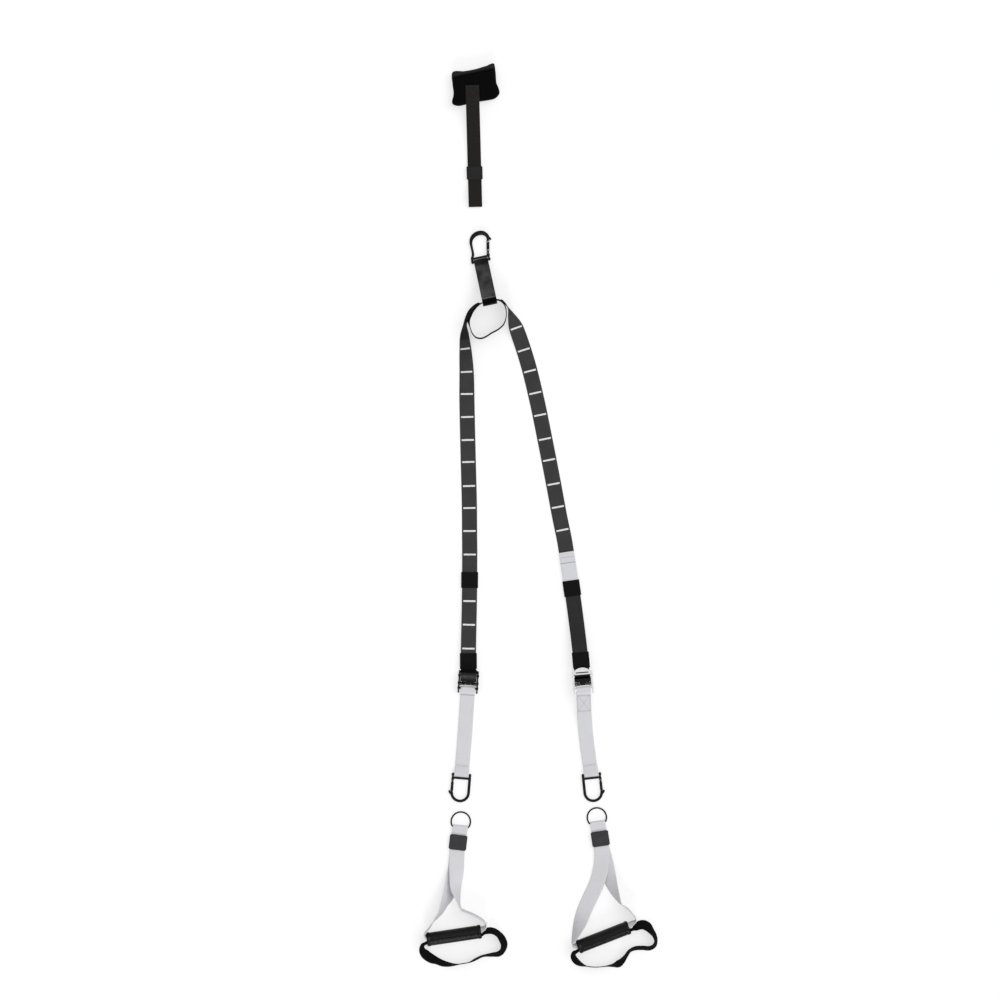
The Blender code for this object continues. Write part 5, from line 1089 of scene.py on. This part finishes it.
def beside_ring(start, end, way):
    """The stretch of a leg that stands against the ring's outer face, a layer outside it."""
    def nearest(share):
        place = RING_PLACE + np.array(share) * RING_SPAN
        return int(np.argmin(np.linalg.norm(ring_path[:, :2] - place, axis=1)))

    count = len(ring_path)
    first, last = nearest(start), nearest(end)
    index = (first + way * np.arange((way * (last - first)) % count + 1)) % count
    heading = ring_path[(index + 1) % count, :2] - ring_path[index - 1, :2]
    outward = flush(-heading[:, 1], heading[:, 0]) / np.linalg.norm(heading, axis=1)[:, None]
    place = ring_path[index, :2] + outward * (LAYER + SEAT_GAP)
    lean, lift = ring_path[index, 2], np.maximum(ring_path[index, 3], 0)
    return flush(place[:, 0], place[:, 1], -way * (180 - lean), lift, 0)


def marks(rows, ups, run):
    """Length marks on a strap: each is a low bar across it, ribbed by its own threads; the
    ribs' height follows the cosine of the distance across, one rib every 0.76 mm."""
    distance = travelled(rows[0])
    centres = np.interp(-np.array(ups), -rows[0][run, 1], distance[run])
    t = np.linspace(-1, 1, 81)[:, None]
    angle = round_angles(12)
    ribs = (0.75 + 0.25 * np.cos(40 * pi * t)) * np.sqrt(np.maximum(1 - np.abs(t) ** 16, 0.04))
    along = MARK_LENGTH / 2 * np.cos(angle)
    crown = np.sign(np.sin(angle)) * np.abs(np.sin(angle)) ** 0.4
    height = WEB_THICK / 2 + MARK_RISE * crown * ribs
    return [(on_strap(rows, centre + along + 0 * t, MARK_HALF * t, height), False)
            for centre in centres]


def mark_thread():
    """White filament yarn, laid side by side along the strap, with painted shade in its grooves."""
    made, tree, shader = surface("white mark yarn", MARK_WHITE, 0.55, Specular_IOR_Level=0.2,
                                 Sheen_Weight=0.05)
    wave = waves(tree, on_piece(tree), 260.0, 1.5, "X")
    tree.links.new(toned(tree, wave, MARK_WHITE, 0.8, 1.0), shader.inputs["Base Color"])
    embossed(tree, shader, wave, 0.0001)
    return made


white_yarn = mark_thread()
bar_place, stack, bar_level = {}, {}, {}
for side in SIDES:
    left = side == "left"
    main_up = 1 if left else -1
    rest = KEEPER_WALL + SEAT_GAP
    level = BAR_HEIGHT[side] - LAYER / 2 - WEB_THICK / 2
    lows = np.array((0, rest, rest, rest, rest + 0.45 * (level - rest), level, level, level))
    world = RING_PLACE + np.array(DOUBLED[side]) * LEG_DROP
    route = np.array(ROUTE[side])
    bar_place[side] = RING_PLACE + np.array(BAR_SHARE[side]) * LEG_DROP
    near_bar = set_at(bar_place[side], BUCKLE_TURN[side], (0, BAR_RADIUS, 0))
    bar = BAR_HEIGHT[side]
    start = beside_ring(*RING_CONTACT[side])
    main = np.vstack((
        start, flush(*(RING_PLACE + route[:, :2] * LEG_DROP).T, route[:, 2], 0, 0),
        flush(*world.T, 0, lows + (LAYER if left else 0), 0),
        (near_bar[0], near_bar[1], 0, bar + main_up * BAR_FOLD - WEB_THICK / 2, 0),
    ))
    tail_points = flush(*world.T, 180, lows + (0 if left else LAYER), 0)[::-1]
    tail = np.vstack((
        (near_bar[0], near_bar[1], 180, bar - main_up * BAR_FOLD - WEB_THICK / 2, 0),
        tail_points[:-2],
    ))
    main_run = resting(main, LEG_WIDTH, STRAP_STEP)
    turn = from_side(bar_place[side], BUCKLE_TURN[side],
                     bend((0, bar), BAR_FOLD, 90 * main_up, 270 * main_up))
    tail_run = resting(tail, LEG_WIDTH, STRAP_STEP)
    rows = end_to_end(main_run, turn, tail_run)
    fold = travelled(rows[0])[len(main_run[0]) - 1]
    leg_web = woven(side + " leg webbing", DARK_WEB, patch=(24.0, 2.0), **DARK_LOOK)
    # Painted shade: LEG_SHADE darkens each leg beside the ring and the 0.1 band the fold round the
    # pinch bar; TAIL_TONE makes the right tail darker.
    leg_web = banded(leg_web, (*LEG_SHADE[side], (fold, 0.016, 0.1),
                               (fold + 0.13, 0.12, TAIL_TONE[side])), 0.006)
    leg = skin(side + "_leg_webbing", [carried(rows, LEG_WIDTH)], leg_web)
    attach(leg, "main_strap")
    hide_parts(side + "_leg_strap")
    before_bar = np.arange(len(rows[0])) < len(main_run[0]) - 2
    run = np.flatnonzero((rows[0][:, 1] < MARK_TOP) & before_bar)
    run = run[run > len(start) + 8]
    ups = (PIXEL_ZERO - np.array(MARK_PIXELS[side])) * PIXEL
    bars = skin(side + "_length_marks", marks(rows, ups, run), white_yarn)
    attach(bars, "main_strap")
    first = tail_points[-3].copy()
    step = tail_points[-2, :2] - first[:2]
    first[:2] += step / np.linalg.norm(step) * SEAT_GAP
    stack[side] = np.vstack((first, tail_points[-2:]))
    middle = np.vstack((flush(*world.T, 0, lows, 0), (*bar_place[side], 0, level, 0)))
    bar_level[side] = resting(middle, LEG_WIDTH, 0.022 / 8)[0]


# The tail tabs: a light grey end is sewn to each tail, so that it can be found by feel. The
# left one lies under its strap, the right one on top.
LIGHT_WEB = (0.61, 0.61, 0.635)
LIGHT_THREAD = (0.36, 0.36, 0.38)
TAB_SEAMS = (0.064, 0.078)

light_web = woven("light grey webbing", LIGHT_WEB, spread=0.1)
light_thread = thread("light grey thread", LIGHT_THREAD)
# Painted shade: thin dark bands lie under the two seams across each tab.
tab_web = banded(woven("light tab webbing", LIGHT_WEB, spread=0.1), (
    (TAB_SEAMS[0], 0.0009, 0.45), (TAB_SEAMS[1], 0.0007, 0.85)))
for side in SIDES:
    rows = resting(stack[side], LEG_WIDTH, STRAP_STEP)
    tab = skin(side + "_tail_tab_webbing", [carried(rows, LEG_WIDTH)], tab_web)
    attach(tab, "main_strap")
    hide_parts(side + "_tail_tab")
    tab_runs = rows_across(LEG_WIDTH / 2 - SEAM_INSET, *TAB_SEAMS)
    seams = skin(side + "_tail_tab_stitching", sewn(rows, tab_runs, -1.0), light_thread)
    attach(seams, "main_strap")


# The keepers: two loops of ribbed black elastic on each leg. They hold the tail against the
# strap and slide along both.
KEEPER_LENGTH = 0.0395
KEEPER_SIDE_GAP = 0.001
KEEPER_DROP = {"left": (0.238, 0.0355), "right": (0.219, 0.0385)}
ELASTIC_BLACK = (0.0052, 0.0052, 0.0053)

elastic = woven("black elastic", ELASTIC_BLACK, rib=0.0021, pick=0.0009, relief=0.00035,
                shine=0.06, sheen=0.02)
for side in SIDES:
    line = bar_level[side]
    for name, drop in zip(("upper", "lower"), KEEPER_DROP[side]):
        index = int(np.argmin(np.abs(line[:, 1] - (bar_place[side][1] + drop))))
        heading = line[index - 2] - line[index + 2]
        place = line[index] + (0, 0, LAYER / 2)
        turn = atan2(heading[1], heading[0]) - pi / 2
        keeper = skin(f"{side}_{name}_keeper_elastic", [band(
            place, turn, LEG_WIDTH + 2 * KEEPER_SIDE_GAP, sleeve_height, KEEPER_LENGTH,
            KEEPER_WALL)], elastic)
        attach(keeper, f"{side}_{name}_keeper")
        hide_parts(f"{side}_{name}_keeper")


# The cam buckles: two cheeks and a back plate pressed from one sheet, the pinch bar, the axle,
# the strap bar, and a toothed cam lever that a double coil spring turns against the strap.
# The left one is finished black. The right one lies turned over and is bright.
SILVER = (0.80, 0.79, 0.81)

silver_metal = satin_metal("bright zinc plate", SILVER, 0.3, 0.6, 0.12)
for side in SIDES:
    shell_metal = black_metal if side == "left" else silver_metal
    for part in ("buckle_shell", "pinch_bar", "cam_axle", "strap_bar"):
        dressed(f"{side}_{part}", shell_metal)
    dressed(f"{side}_cam_lever", black_metal)
    dressed(f"{side}_cam_spring", black_metal)


# The lower straps: light grey webbing sewn into a flat loop from the buckle's strap bar to the
# snap hook's pin, with a stitched box below the buckle, which is drawn on the right one only; the
# left one gets rows across.
LOWER_LENGTH = 0.2175
LOWER_BOW = {"left": 0.001, "right": -0.004}
LOWER_FLAT = {"left": (0.12, 0.20), "right": (0.40, 0.52)}
HOOK_TURN = {"left": radians(-4.6), "right": radians(6.0)}
STRAP_BAR_DROP = 0.0315
STRAP_BAR_RISE = BAR_FOLD + WEB_THICK / 2 - PLATE_OUTER
LAP_END = 0.0172
LAP_TONE = {"left": 0.5, "right": 0.85}
BUCKLE_SEAMS = {"left": (-0.001, 0.002), "right": (0.0025, 0.0405)}
HOOK_SEAMS = (0.178, 0.181)
SEAM_START = 0.013

hook_pin = {}
for side in SIDES:
    turn = BUCKLE_TURN[side]
    middle_turn = (turn + HOOK_TURN[side]) / 2
    bar = set_at(bar_place[side], turn, (0, -STRAP_BAR_DROP, 0))[:2]
    bar_z = BAR_HEIGHT[side] + STRAP_BAR_RISE * (1 if side == "left" else -1)
    down = np.array((sin(middle_turn), -cos(middle_turn)))
    sideways = np.array((cos(middle_turn), sin(middle_turn)))
    hook_pin[side] = bar + down * LOWER_LENGTH
    flat = LAYER / 2 + WEB_THICK / 2
    first, second = LOWER_FLAT[side]
    share, mid, spread = np.array((
        (0.0, bar_z, BAR_FOLD), (0.5 * first, 0.5 * (bar_z + flat), 0.4 * BAR_FOLD),
        (first, flat + 0.12 * (bar_z - flat), LAYER / 2), (second, flat, LAYER / 2),
        (0.7, flat, LAYER / 2), (0.88, flat, LAYER / 2), (1.0, pin_axis, PIN_FOLD))).T
    place = bar + down * (BAR_RADIUS + share * (LOWER_LENGTH - 2 * BAR_RADIUS))[:, None]
    place = place + sideways * (LOWER_BOW[side] * np.sin(pi * share))[:, None]
    top, below = [resting(
        flush(place[:, 0], place[:, 1], lean, mid + way * spread - WEB_THICK / 2, 0)[::way],
        BRIDGE_WIDTH, STRAP_STEP) for lean, way in ((0, 1), (180, -1))]
    bar_bend = from_side(bar, turn, bend((0, bar_z), BAR_FOLD, -90, 90))
    pin_bend = from_side(hook_pin[side], HOOK_TURN[side], bend((0, pin_axis), PIN_FOLD, 90, 270))
    rows = end_to_end(bar_bend, top, pin_bend, below)
    lap = pi * BAR_FOLD + LAP_END
    # Painted shade: a dark line across the strap where the folded end's lap stops, with a faint
    # painted highlight over the 8 mm before it.
    lapped = banded(woven(side + " lower webbing", LIGHT_WEB, spread=0.1), (
        (lap, 0.0009, LAP_TONE[side]), (lap - 0.004, 0.004, 1.07)))
    strap = skin(side + "_lower_webbing", [carried(rows, BRIDGE_WIDTH, looped=True)], lapped)
    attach(strap, "main_strap")
    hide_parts(side + "_lower_strap")
    half = BRIDGE_WIDTH / 2 - SEAM_INSET
    runs = [] if side == "left" else crossed_box(half, 0.0, 0.043)
    runs += rows_across(half, *BUCKLE_SEAMS[side], *HOOK_SEAMS)
    runs = [(u1, v1 + SEAM_START, u2, v2 + SEAM_START) for u1, v1, u2, v2 in runs]
    seams = skin(side + "_lower_stitching", sewn(top, runs), light_thread)
    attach(seams, "main_strap")


# The snap hooks: U-shaped black hooks with the same sprung gate as the carabiner, but with black
# beads, which carry the handles. The right one lies turned over.
HOOK_WIRE = 0.0032
HOOK_STRAIGHT = 0.044
HOOK_GATE = 0.0034
HOOK_SPUR_OUT = 0.0062
HOOK_SPUR_DROP = 0.005

for side in SIDES:
    tip = asin((pin_height - HOOK_WIRE) / (HOOK_STRAIGHT + POST_X))
    over = pi if side == "right" else 0.0
    hook_frame = frame_of((*hook_pin[side], pin_height), HOOK_TURN[side] + pi, tip, over)
    path = np.vstack(((POST_X, HOOK_STRAIGHT), bend((0, HOOK_STRAIGHT), POST_X, 4, 180, 40),
                      [(-POST_X, along) for along in (HOOK_STRAIGHT / 2, CROSSBAR_RISE, 0.0)]))
    radii = np.full(len(path), HOOK_WIRE)
    radii[:6] = np.linspace(HOOK_GATE, HOOK_WIRE, 6)
    radii[-1] = EAR_THICK / 2
    spur = flush(POST_X + HOOK_SPUR_OUT * np.array((0, 0.7, 1)),
                 HOOK_STRAIGHT + HOOK_SPUR_DROP * np.array((1, 0.3, -0.6)), 0)
    hook = skin(side + "_hook_forging", placed(hook_frame, hook_shells(
        flush(path[:, 0], path[:, 1], 0), radii, HOOK_GATE, spur)), black_metal)
    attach(hook, side + "_hook")
    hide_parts(side + "_hook_body")
    gate_frame = hook_frame @ Matrix.Translation(hinge)
    gate_length = HOOK_STRAIGHT - HINGE_RISE - GATE_TIP_GAP
    gate_bar = placed(gate_frame, gate_shells(HOOK_GATE, gate_length))
    gate = skin(side + "_hook_gate_bar", gate_bar, black_metal)
    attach(gate, side + "_hook_gate")
    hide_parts(side + "_hook_gate")
    bead_pair = placed(gate_frame, bead_shells(HOOK_GATE, gate_length))
    beads = skin(side + "_hook_gate_beads", bead_pair, black_metal)
    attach(beads, side + "_hook_gate")
    dressed(side + "_hook_gate_pin", steel_metal)
    dressed(side + "_hook_strap_pin", black_metal)


# The D-rings: black wire rings whose straight side lies in the fold of the handle webbing.
D_WIRE = 0.002
D_HALF = 0.024
D_RISE = 0.0125
D_TURN = {"left": radians(-5.0), "right": radians(8.0)}
D_STEP = {"left": (-0.0028, -0.129), "right": (0.0155, -0.119)}
D_FOLD = D_WIRE + SEAT_GAP + WEB_THICK / 2

d_place = {}
for side in SIDES:
    d_place[side] = hook_pin[side] + D_STEP[side]
    height = WEB_THICK / 2 + D_FOLD
    d_tip = asin((height - D_WIRE) / (D_RISE + D_HALF))
    d_frame = frame_of((*d_place[side], height), D_TURN[side], d_tip)
    drop = degrees(asin(D_RISE / D_HALF))
    bow = bend((0, D_RISE), D_HALF, -drop, 180 + drop, 60)
    straight = np.linspace(bow[-1, 0], bow[0, 0], 12)[1:-1]
    path = np.vstack((bow, flush(straight, bow[0, 1])))
    heading = unit(headings(path, True))
    angle = round_angles(20)
    out = D_WIRE * np.cos(angle)
    ring_grid = flush(path[:, None, 0] - heading[:, None, 1] * out,
                      path[:, None, 1] + heading[:, None, 0] * out, D_WIRE * np.sin(angle))
    d_ring = skin(side + "_d_ring_wire", placed(d_frame, [(ring_grid, True)]), black_metal)
    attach(d_ring, side + "_d_ring")
    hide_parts(side + "_d_ring")


# The handle webbing: light grey webbing from the D-ring's fold, under the sleeve, then apart in
# two legs that turn on edge and curl into the ends of the grip's tube.
HANDLE_DROP = 0.275
HANDLE_STEP = 0.004
HANDLE_SEAMS = (0.0145, 0.0175)
CURL_RADIUS = 0.0113
GRIP_LENGTH = 0.134
GRIP_REACH = GRIP_LENGTH / 2 + 0.003
GRIP_RADIUS = 0.0176
GRIP_TURN = {"left": radians(8.5), "right": radians(21.3)}
GRIP_SHARE = {"left": (-0.0573, -0.982), "right": (0.0515, -1.034)}
FRONT_ROUTE = {
    "left": (
        (-0.013, -0.073, 0, 1.66, 0), (-0.021, -0.142, 0, 1.66, 0), (-0.029, -0.212, 0, 1.66, 0),
        (-0.033, -0.292, -4, 1.6, 0), (-0.035, -0.372, -10, 1.3, 0), (-0.038, -0.461, -28, 0.9, 0),
        (-0.04, -0.55, -46, 0.5, 0), (-0.028, -0.614, -66, 0.1, 0), (-0.016, -0.664, -78, 0, 0),
        (-0.004, -0.716, -87, 0, 0), (0.012, -0.746, -90, 0, 0), (0.048, -0.763, -90, 0, 0),
        (0.098, -0.783, -90, 0, 0), (0.148, -0.807, -90, 0, 0), (0.192, -0.834, -90, 0, 0),
        (0.221, -0.86, -90, 0, 0), (0.231, -0.879, -90, 0.05, 0.1), (0.222, -0.895, -90, 0.5, 0.35),
        (0.205, -0.9, -90, 1.8, 0.75),
    ),
    "right": (
        (0.012, -0.074, 0, 1.66, 0), (0.024, -0.146, 0, 1.66, 0), (0.034, -0.218, 0, 1.66, 0),
        (0.039, -0.3, 3, 1.6, 0), (0.035, -0.38, 8, 1.5, 0), (0.019, -0.461, 11, 1.3, 0),
        (-0.004, -0.542, 10, 0.9, 0), (-0.039, -0.623, 10, 0.5, 0), (-0.081, -0.709, 12, 0.2, 0),
        (-0.123, -0.804, 18, 0, 0), (-0.152, -0.883, 30, 0, 0), (-0.184, -0.966, 52, 0, 0),
        (-0.208, -1.03, 70, 0, 0), (-0.226, -1.075, 84, 0, 0), (-0.232, -1.095, 90, 0.05, 0.05),
        (-0.227, -1.105, 90, 0.3, 0.25), (-0.215, -1.099, 90, 1.8, 0.8),
    ),
}
BACK_ROUTE = {
    "left": (
        (-0.315, -0.98, -90, 1.2, 0.55), (-0.321, -0.98, -90, 0.1, 0.1),
        (-0.326, -0.973, -90, 0, 0), (-0.322, -0.963, -90, 0, 0), (-0.31, -0.95, -90, 0, 0),
        (-0.295, -0.932, -90, 0, 0), (-0.275, -0.906, -90, 0, 0), (-0.245, -0.86, -94, 0, 0),
        (-0.215, -0.82, -102, 0, 0), (-0.177, -0.77, -110, 0, 0), (-0.151, -0.71, -119, 0, 0),
        (-0.112, -0.633, -138, 0, 0), (-0.09, -0.562, -146, 0, 0), (-0.064, -0.463, -160, 0, 0),
        (-0.043, -0.374, -174, 0.2, 0), (-0.035, -0.294, -179, 0.5, 0),
        (-0.029, -0.213, -180, 0.66, 0), (-0.021, -0.143, -180, 0.66, 0),
        (-0.013, -0.074, -180, 0.66, 0),
    ),
    "right": (
        (0.296, -0.894, 90, 2.2, 0.85), (0.32, -0.887, 90, 1, 0.5), (0.34, -0.882, 90, 0.2, 0.15),
        (0.346, -0.872, 90, 0, 0), (0.342, -0.858, 90, 0, 0), (0.326, -0.84, 90, 0, 0),
        (0.307, -0.815, 90, 0, 0), (0.277, -0.783, 90, 0, 0), (0.242, -0.757, 92, 0, 0),
        (0.21, -0.732, 97, 0, 0), (0.189, -0.7, 105, 0, 0), (0.171, -0.665, 115, 0, 0),
        (0.146, -0.61, 128, 0, 0), (0.125, -0.554, 140, 0, 0), (0.103, -0.48, 155, 0, 0),
        (0.082, -0.396, 166, 0, 0), (0.059, -0.306, 176, 0.3, 0), (0.034, -0.219, 180, 0.66, 0),
        (0.024, -0.147, 180, 0.66, 0), (0.012, -0.075, 180, 0.66, 0),
    ),
}

grip_place, handle_top = {}, {}


def handle_route(side, table):
    """A handle's route from its shares of the drop from the D-ring to the grip."""
    x, y, lean, layers, curl = np.array(table).T
    return flush(d_place[side][0] + x * HANDLE_DROP, d_place[side][1] + y * HANDLE_DROP, lean,
                 layers * LAYER, curl / CURL_RADIUS)


def inside_tube(side, offset, lean, first, last, width):
    """The straight run through the grip's tube, curled against one side of its bore."""
    share = np.array((0, 0.06, 0.5, 0.94, 1))
    half = CURL_RADIUS * sin(min(width / 2 / CURL_RADIUS, pi / 2))
    along = first + share * (last - first)
    spots = set_at(grip_place[side], GRIP_TURN[side], flush(along, offset, 0))
    return flush(spots[:, 0], spots[:, 1], lean, GRIP_RADIUS - half, 1 / CURL_RADIUS)


for side in SIDES:
    lean = -90 if side == "left" else 90
    grip_place[side] = d_place[side] + np.array(GRIP_SHARE[side]) * HANDLE_DROP
    first = GRIP_REACH if side == "left" else -GRIP_REACH
    height = WEB_THICK / 2 + D_FOLD
    near = set_at(d_place[side], D_TURN[side], (0, -D_FOLD, 0))
    loop = np.vstack((
        (near[0], near[1], 0, height + D_FOLD - WEB_THICK / 2, 0),
        handle_route(side, FRONT_ROUTE[side]),
        inside_tube(side, CURL_RADIUS, lean, first, -first, LEG_WIDTH),
        handle_route(side, BACK_ROUTE[side]), (near[0], near[1], 2 * lean, 0, 0),
    ))
    fold = from_side(d_place[side], D_TURN[side], bend((0, height), D_FOLD, -90, 90))
    run = resting(loop, LEG_WIDTH, HANDLE_STEP)
    rows = end_to_end(fold, run)
    handle_top[side] = loop[1:4]
    webbing_grid = carried(rows, LEG_WIDTH, cells=10, looped=True)
    webbing = skin(side + "_handle_loop_webbing", [webbing_grid], light_web)
    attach(webbing, side + "_handle")
    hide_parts(side + "_handle_webbing")
    seam_runs = rows_across(LEG_WIDTH / 2 - SEAM_INSET, *HANDLE_SEAMS)
    seams = skin(side + "_handle_stitching", sewn(run, seam_runs), light_thread)
    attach(seams, side + "_handle")


# The handle sleeves: a dark band of rubbery tape round both layers of each handle's webbing.
# The real one's label is left bare.
HANDLE_SLEEVE = 0.038

label = rubbery("dark grey label tape", LABEL_DARK)
for side in SIDES:
    first, at, last = handle_top[side]
    slope = atan2(first[1] - last[1], first[0] - last[0]) - pi / 2
    place = np.array((at[0], at[1], sleeve_middle))
    sleeve = skin(side + "_handle_sleeve_band", sleeve_shells(
        place, slope, LEG_WIDTH, HANDLE_SLEEVE, 0.005), label)
    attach(sleeve, side + "_handle")
    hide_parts(side + "_handle_sleeve")


# The grips: a flanged black tube spins on the webbing, inside a rubber sleeve with a moulded
# diamond pattern and a plain raised rim at each end.
CORE_BORE = 0.0127
CORE_WALL = 0.0017
FLANGE = 0.0166
FLANGE_THICK = 0.0016
RIM = 0.0011
RIM_LENGTH = 0.006
DIAMOND = 0.0034
DIAMOND_RISE = 0.0004
RUBBER_BLACK = (0.0030, 0.0030, 0.0030)


def turned_shell(profile, place, turn, steps, relief=None):
    """A shape turned round the grip's axis from rows of distance along it and radius; relief
    adds to the radius from the distance and the angle. The rows close on themselves."""
    along, radius = np.array(profile).T[:, :, None]
    angle = round_angles(steps)
    size = radius
    if relief is not None:
        size = radius + relief(along, angle) * (radius > GRIP_RADIUS - 1.5 * RIM)
    grid = flush(along, size * np.cos(angle), size * np.sin(angle) + place[2])
    return set_at(place, turn, grid), True


def diamonds(along, angle):
    """Raised diamonds: the product of two slanting waves, faded out at both rims."""
    turns = round(2 * pi * GRIP_RADIUS / DIAMOND)
    first = np.cos(pi * along / DIAMOND + turns * angle / 2)
    second = np.cos(pi * along / DIAMOND - turns * angle / 2)
    fade = np.clip((GRIP_LENGTH / 2 - RIM_LENGTH - 0.004 - np.abs(along)) / 0.002, 0, 1)
    return DIAMOND_RISE * fade * (np.abs(first * second) ** 0.5 - 0.5)


def moulded_rubber():
    """Black rubber: matt, with fine pores and slow changes of tone from handling."""
    made, tree, shader = surface("black grip rubber", RUBBER_BLACK, 0.3, Specular_IOR_Level=0.2)
    place = on_piece(tree)
    tone = noise(tree, place, 40.0, 4.0)
    tree.links.new(toned(tree, tone, RUBBER_BLACK, 0.6, 1.7), shader.inputs["Base Color"])
    tree.links.new(weighed(tree, (tone, 0.1), plus=0.2), shader.inputs["Roughness"])
    embossed(tree, shader, noise(tree, place, 1200.0, 3.0), 0.0001, 0.2)
    return made


def mirrored(profile):
    """The same profile at the grip's other end."""
    return [(-along, radius) for along, radius in profile[::-1]]


grip_rubber = moulded_rubber()
half = GRIP_LENGTH / 2
core_outer = CORE_BORE + CORE_WALL
core_half = [
    (half, core_outer), (half, FLANGE), (half + 0.3 * FLANGE_THICK, FLANGE),
    (half + FLANGE_THICK, 0.97 * FLANGE), (half + FLANGE_THICK, 1.06 * CORE_BORE),
    (half + 0.6 * FLANGE_THICK, CORE_BORE),
]
core_profile = core_half + mirrored(core_half)
bore = core_outer + SEAT_GAP
end = half - SEAT_GAP
rim = end - RIM_LENGTH
barrel = [(along, GRIP_RADIUS - RIM) for along in np.linspace(rim - RIM, -(rim - RIM), 210)]
sleeve_half = [(end, bore), (end, GRIP_RADIUS - RIM), (end - 0.4 * RIM, GRIP_RADIUS - 0.2 * RIM),
               (end - RIM, GRIP_RADIUS), (rim, GRIP_RADIUS)]
sleeve_profile = sleeve_half + barrel + mirrored(sleeve_half)
for side in SIDES:
    place = (*grip_place[side], GRIP_RADIUS)
    core_shell = turned_shell(core_profile, place, GRIP_TURN[side], 64)
    core = skin(side + "_grip_tube", [core_shell], black_metal)
    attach(core, side + "_grip")
    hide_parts(side + "_grip_core")
    rubber_shell = turned_shell(sleeve_profile, place, GRIP_TURN[side], 192, diamonds)
    rubber = skin(side + "_grip_rubber", [rubber_shell], grip_rubber, 70)
    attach(rubber, side + "_grip")
    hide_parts(side + "_grip_sleeve")


# The foot loops: 25 mm black webbing through the same tube, lying on the floor in a loose loop
# that leans and twists, for a foot in floor exercises.
FOOT_WIDTH = 0.025
FOOT_BLACK = (0.0045, 0.0045, 0.0045)
FOOT_ROUTE = {
    "left": (
        (-0.321, -1.066, 84, 2, 0.5), (-0.338, -1.077, 70, 0.6, 0.15), (-0.344, -1.107, 50, 0, 0),
        (-0.321, -1.155, 14, 0, 0), (-0.272, -1.194, 12, 0, 0), (-0.215, -1.216, 36, 0, 0),
        (-0.155, -1.24, 44, 0, 0), (-0.104, -1.248, 56, 0, 0), (-0.051, -1.249, 71, 0, 0),
        (0.017, -1.24, 82, 0, 0), (0.086, -1.227, 79, 0, 0), (0.142, -1.199, 71, 0, 0),
        (0.192, -1.174, 72, 0, 0), (0.287, -1.159, 60, 0, 0), (0.355, -1.149, 50, 0, 0),
        (0.386, -1.117, 54, 0, 0), (0.398, -1.069, 49, 0, 0), (0.383, -1.024, 49, 0, 0),
        (0.34, -0.968, 60, 0, 0), (0.291, -0.943, 59, 0, 0), (0.249, -0.942, 60, 0, 0),
        (0.219, -0.959, 74, 0.6, 0.15), (0.209, -0.978, 86, 2, 0.5),
    ),
    "right": (
        (-0.191, -1.175, 84, 2, 0.5), (-0.211, -1.183, 72, 0.6, 0.15), (-0.219, -1.213, 56, 0, 0),
        (-0.191, -1.261, 48, 0, 0), (-0.144, -1.289, 64, 0, 0), (-0.095, -1.302, 80, 0, 0),
        (0.001, -1.309, 80, 0, 0), (0.089, -1.299, 76, 0, 0), (0.146, -1.292, 60, 0, 0),
        (0.188, -1.282, 36, 0, 0), (0.223, -1.252, 48, 0, 0), (0.255, -1.21, 62, 0, 0),
        (0.292, -1.161, 65, 0, 0), (0.338, -1.14, 59, 0, 0), (0.404, -1.135, 58, 0, 0),
        (0.477, -1.137, 57, 0, 0), (0.513, -1.116, 60, 0, 0), (0.528, -1.071, 70, 0, 0),
        (0.517, -1.025, 67, 0, 0), (0.488, -0.983, 56, 0, 0), (0.451, -0.943, 30, 0, 0),
        (0.415, -0.928, 27, 0, 0), (0.379, -0.931, 38, 0, 0), (0.348, -0.949, 56, 0, 0),
        (0.329, -0.964, 76, 1, 0.2), (0.32, -0.972, 86, 2, 0.5),
    ),
}

foot_web = woven("black foot webbing", FOOT_BLACK, shine=0.04, sheen=0.0)
for side in SIDES:
    tube = inside_tube(side, -CURL_RADIUS, 90, GRIP_REACH, -GRIP_REACH, FOOT_WIDTH)
    loop = np.vstack((handle_route(side, FOOT_ROUTE[side]), tube))
    rows = resting(loop, FOOT_WIDTH, HANDLE_STEP, True)
    foot = skin(side + "_foot_loop_webbing", [carried(rows, FOOT_WIDTH, looped=True)], foot_web)
    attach(foot, side + "_handle")
    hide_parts(side + "_foot_loop")
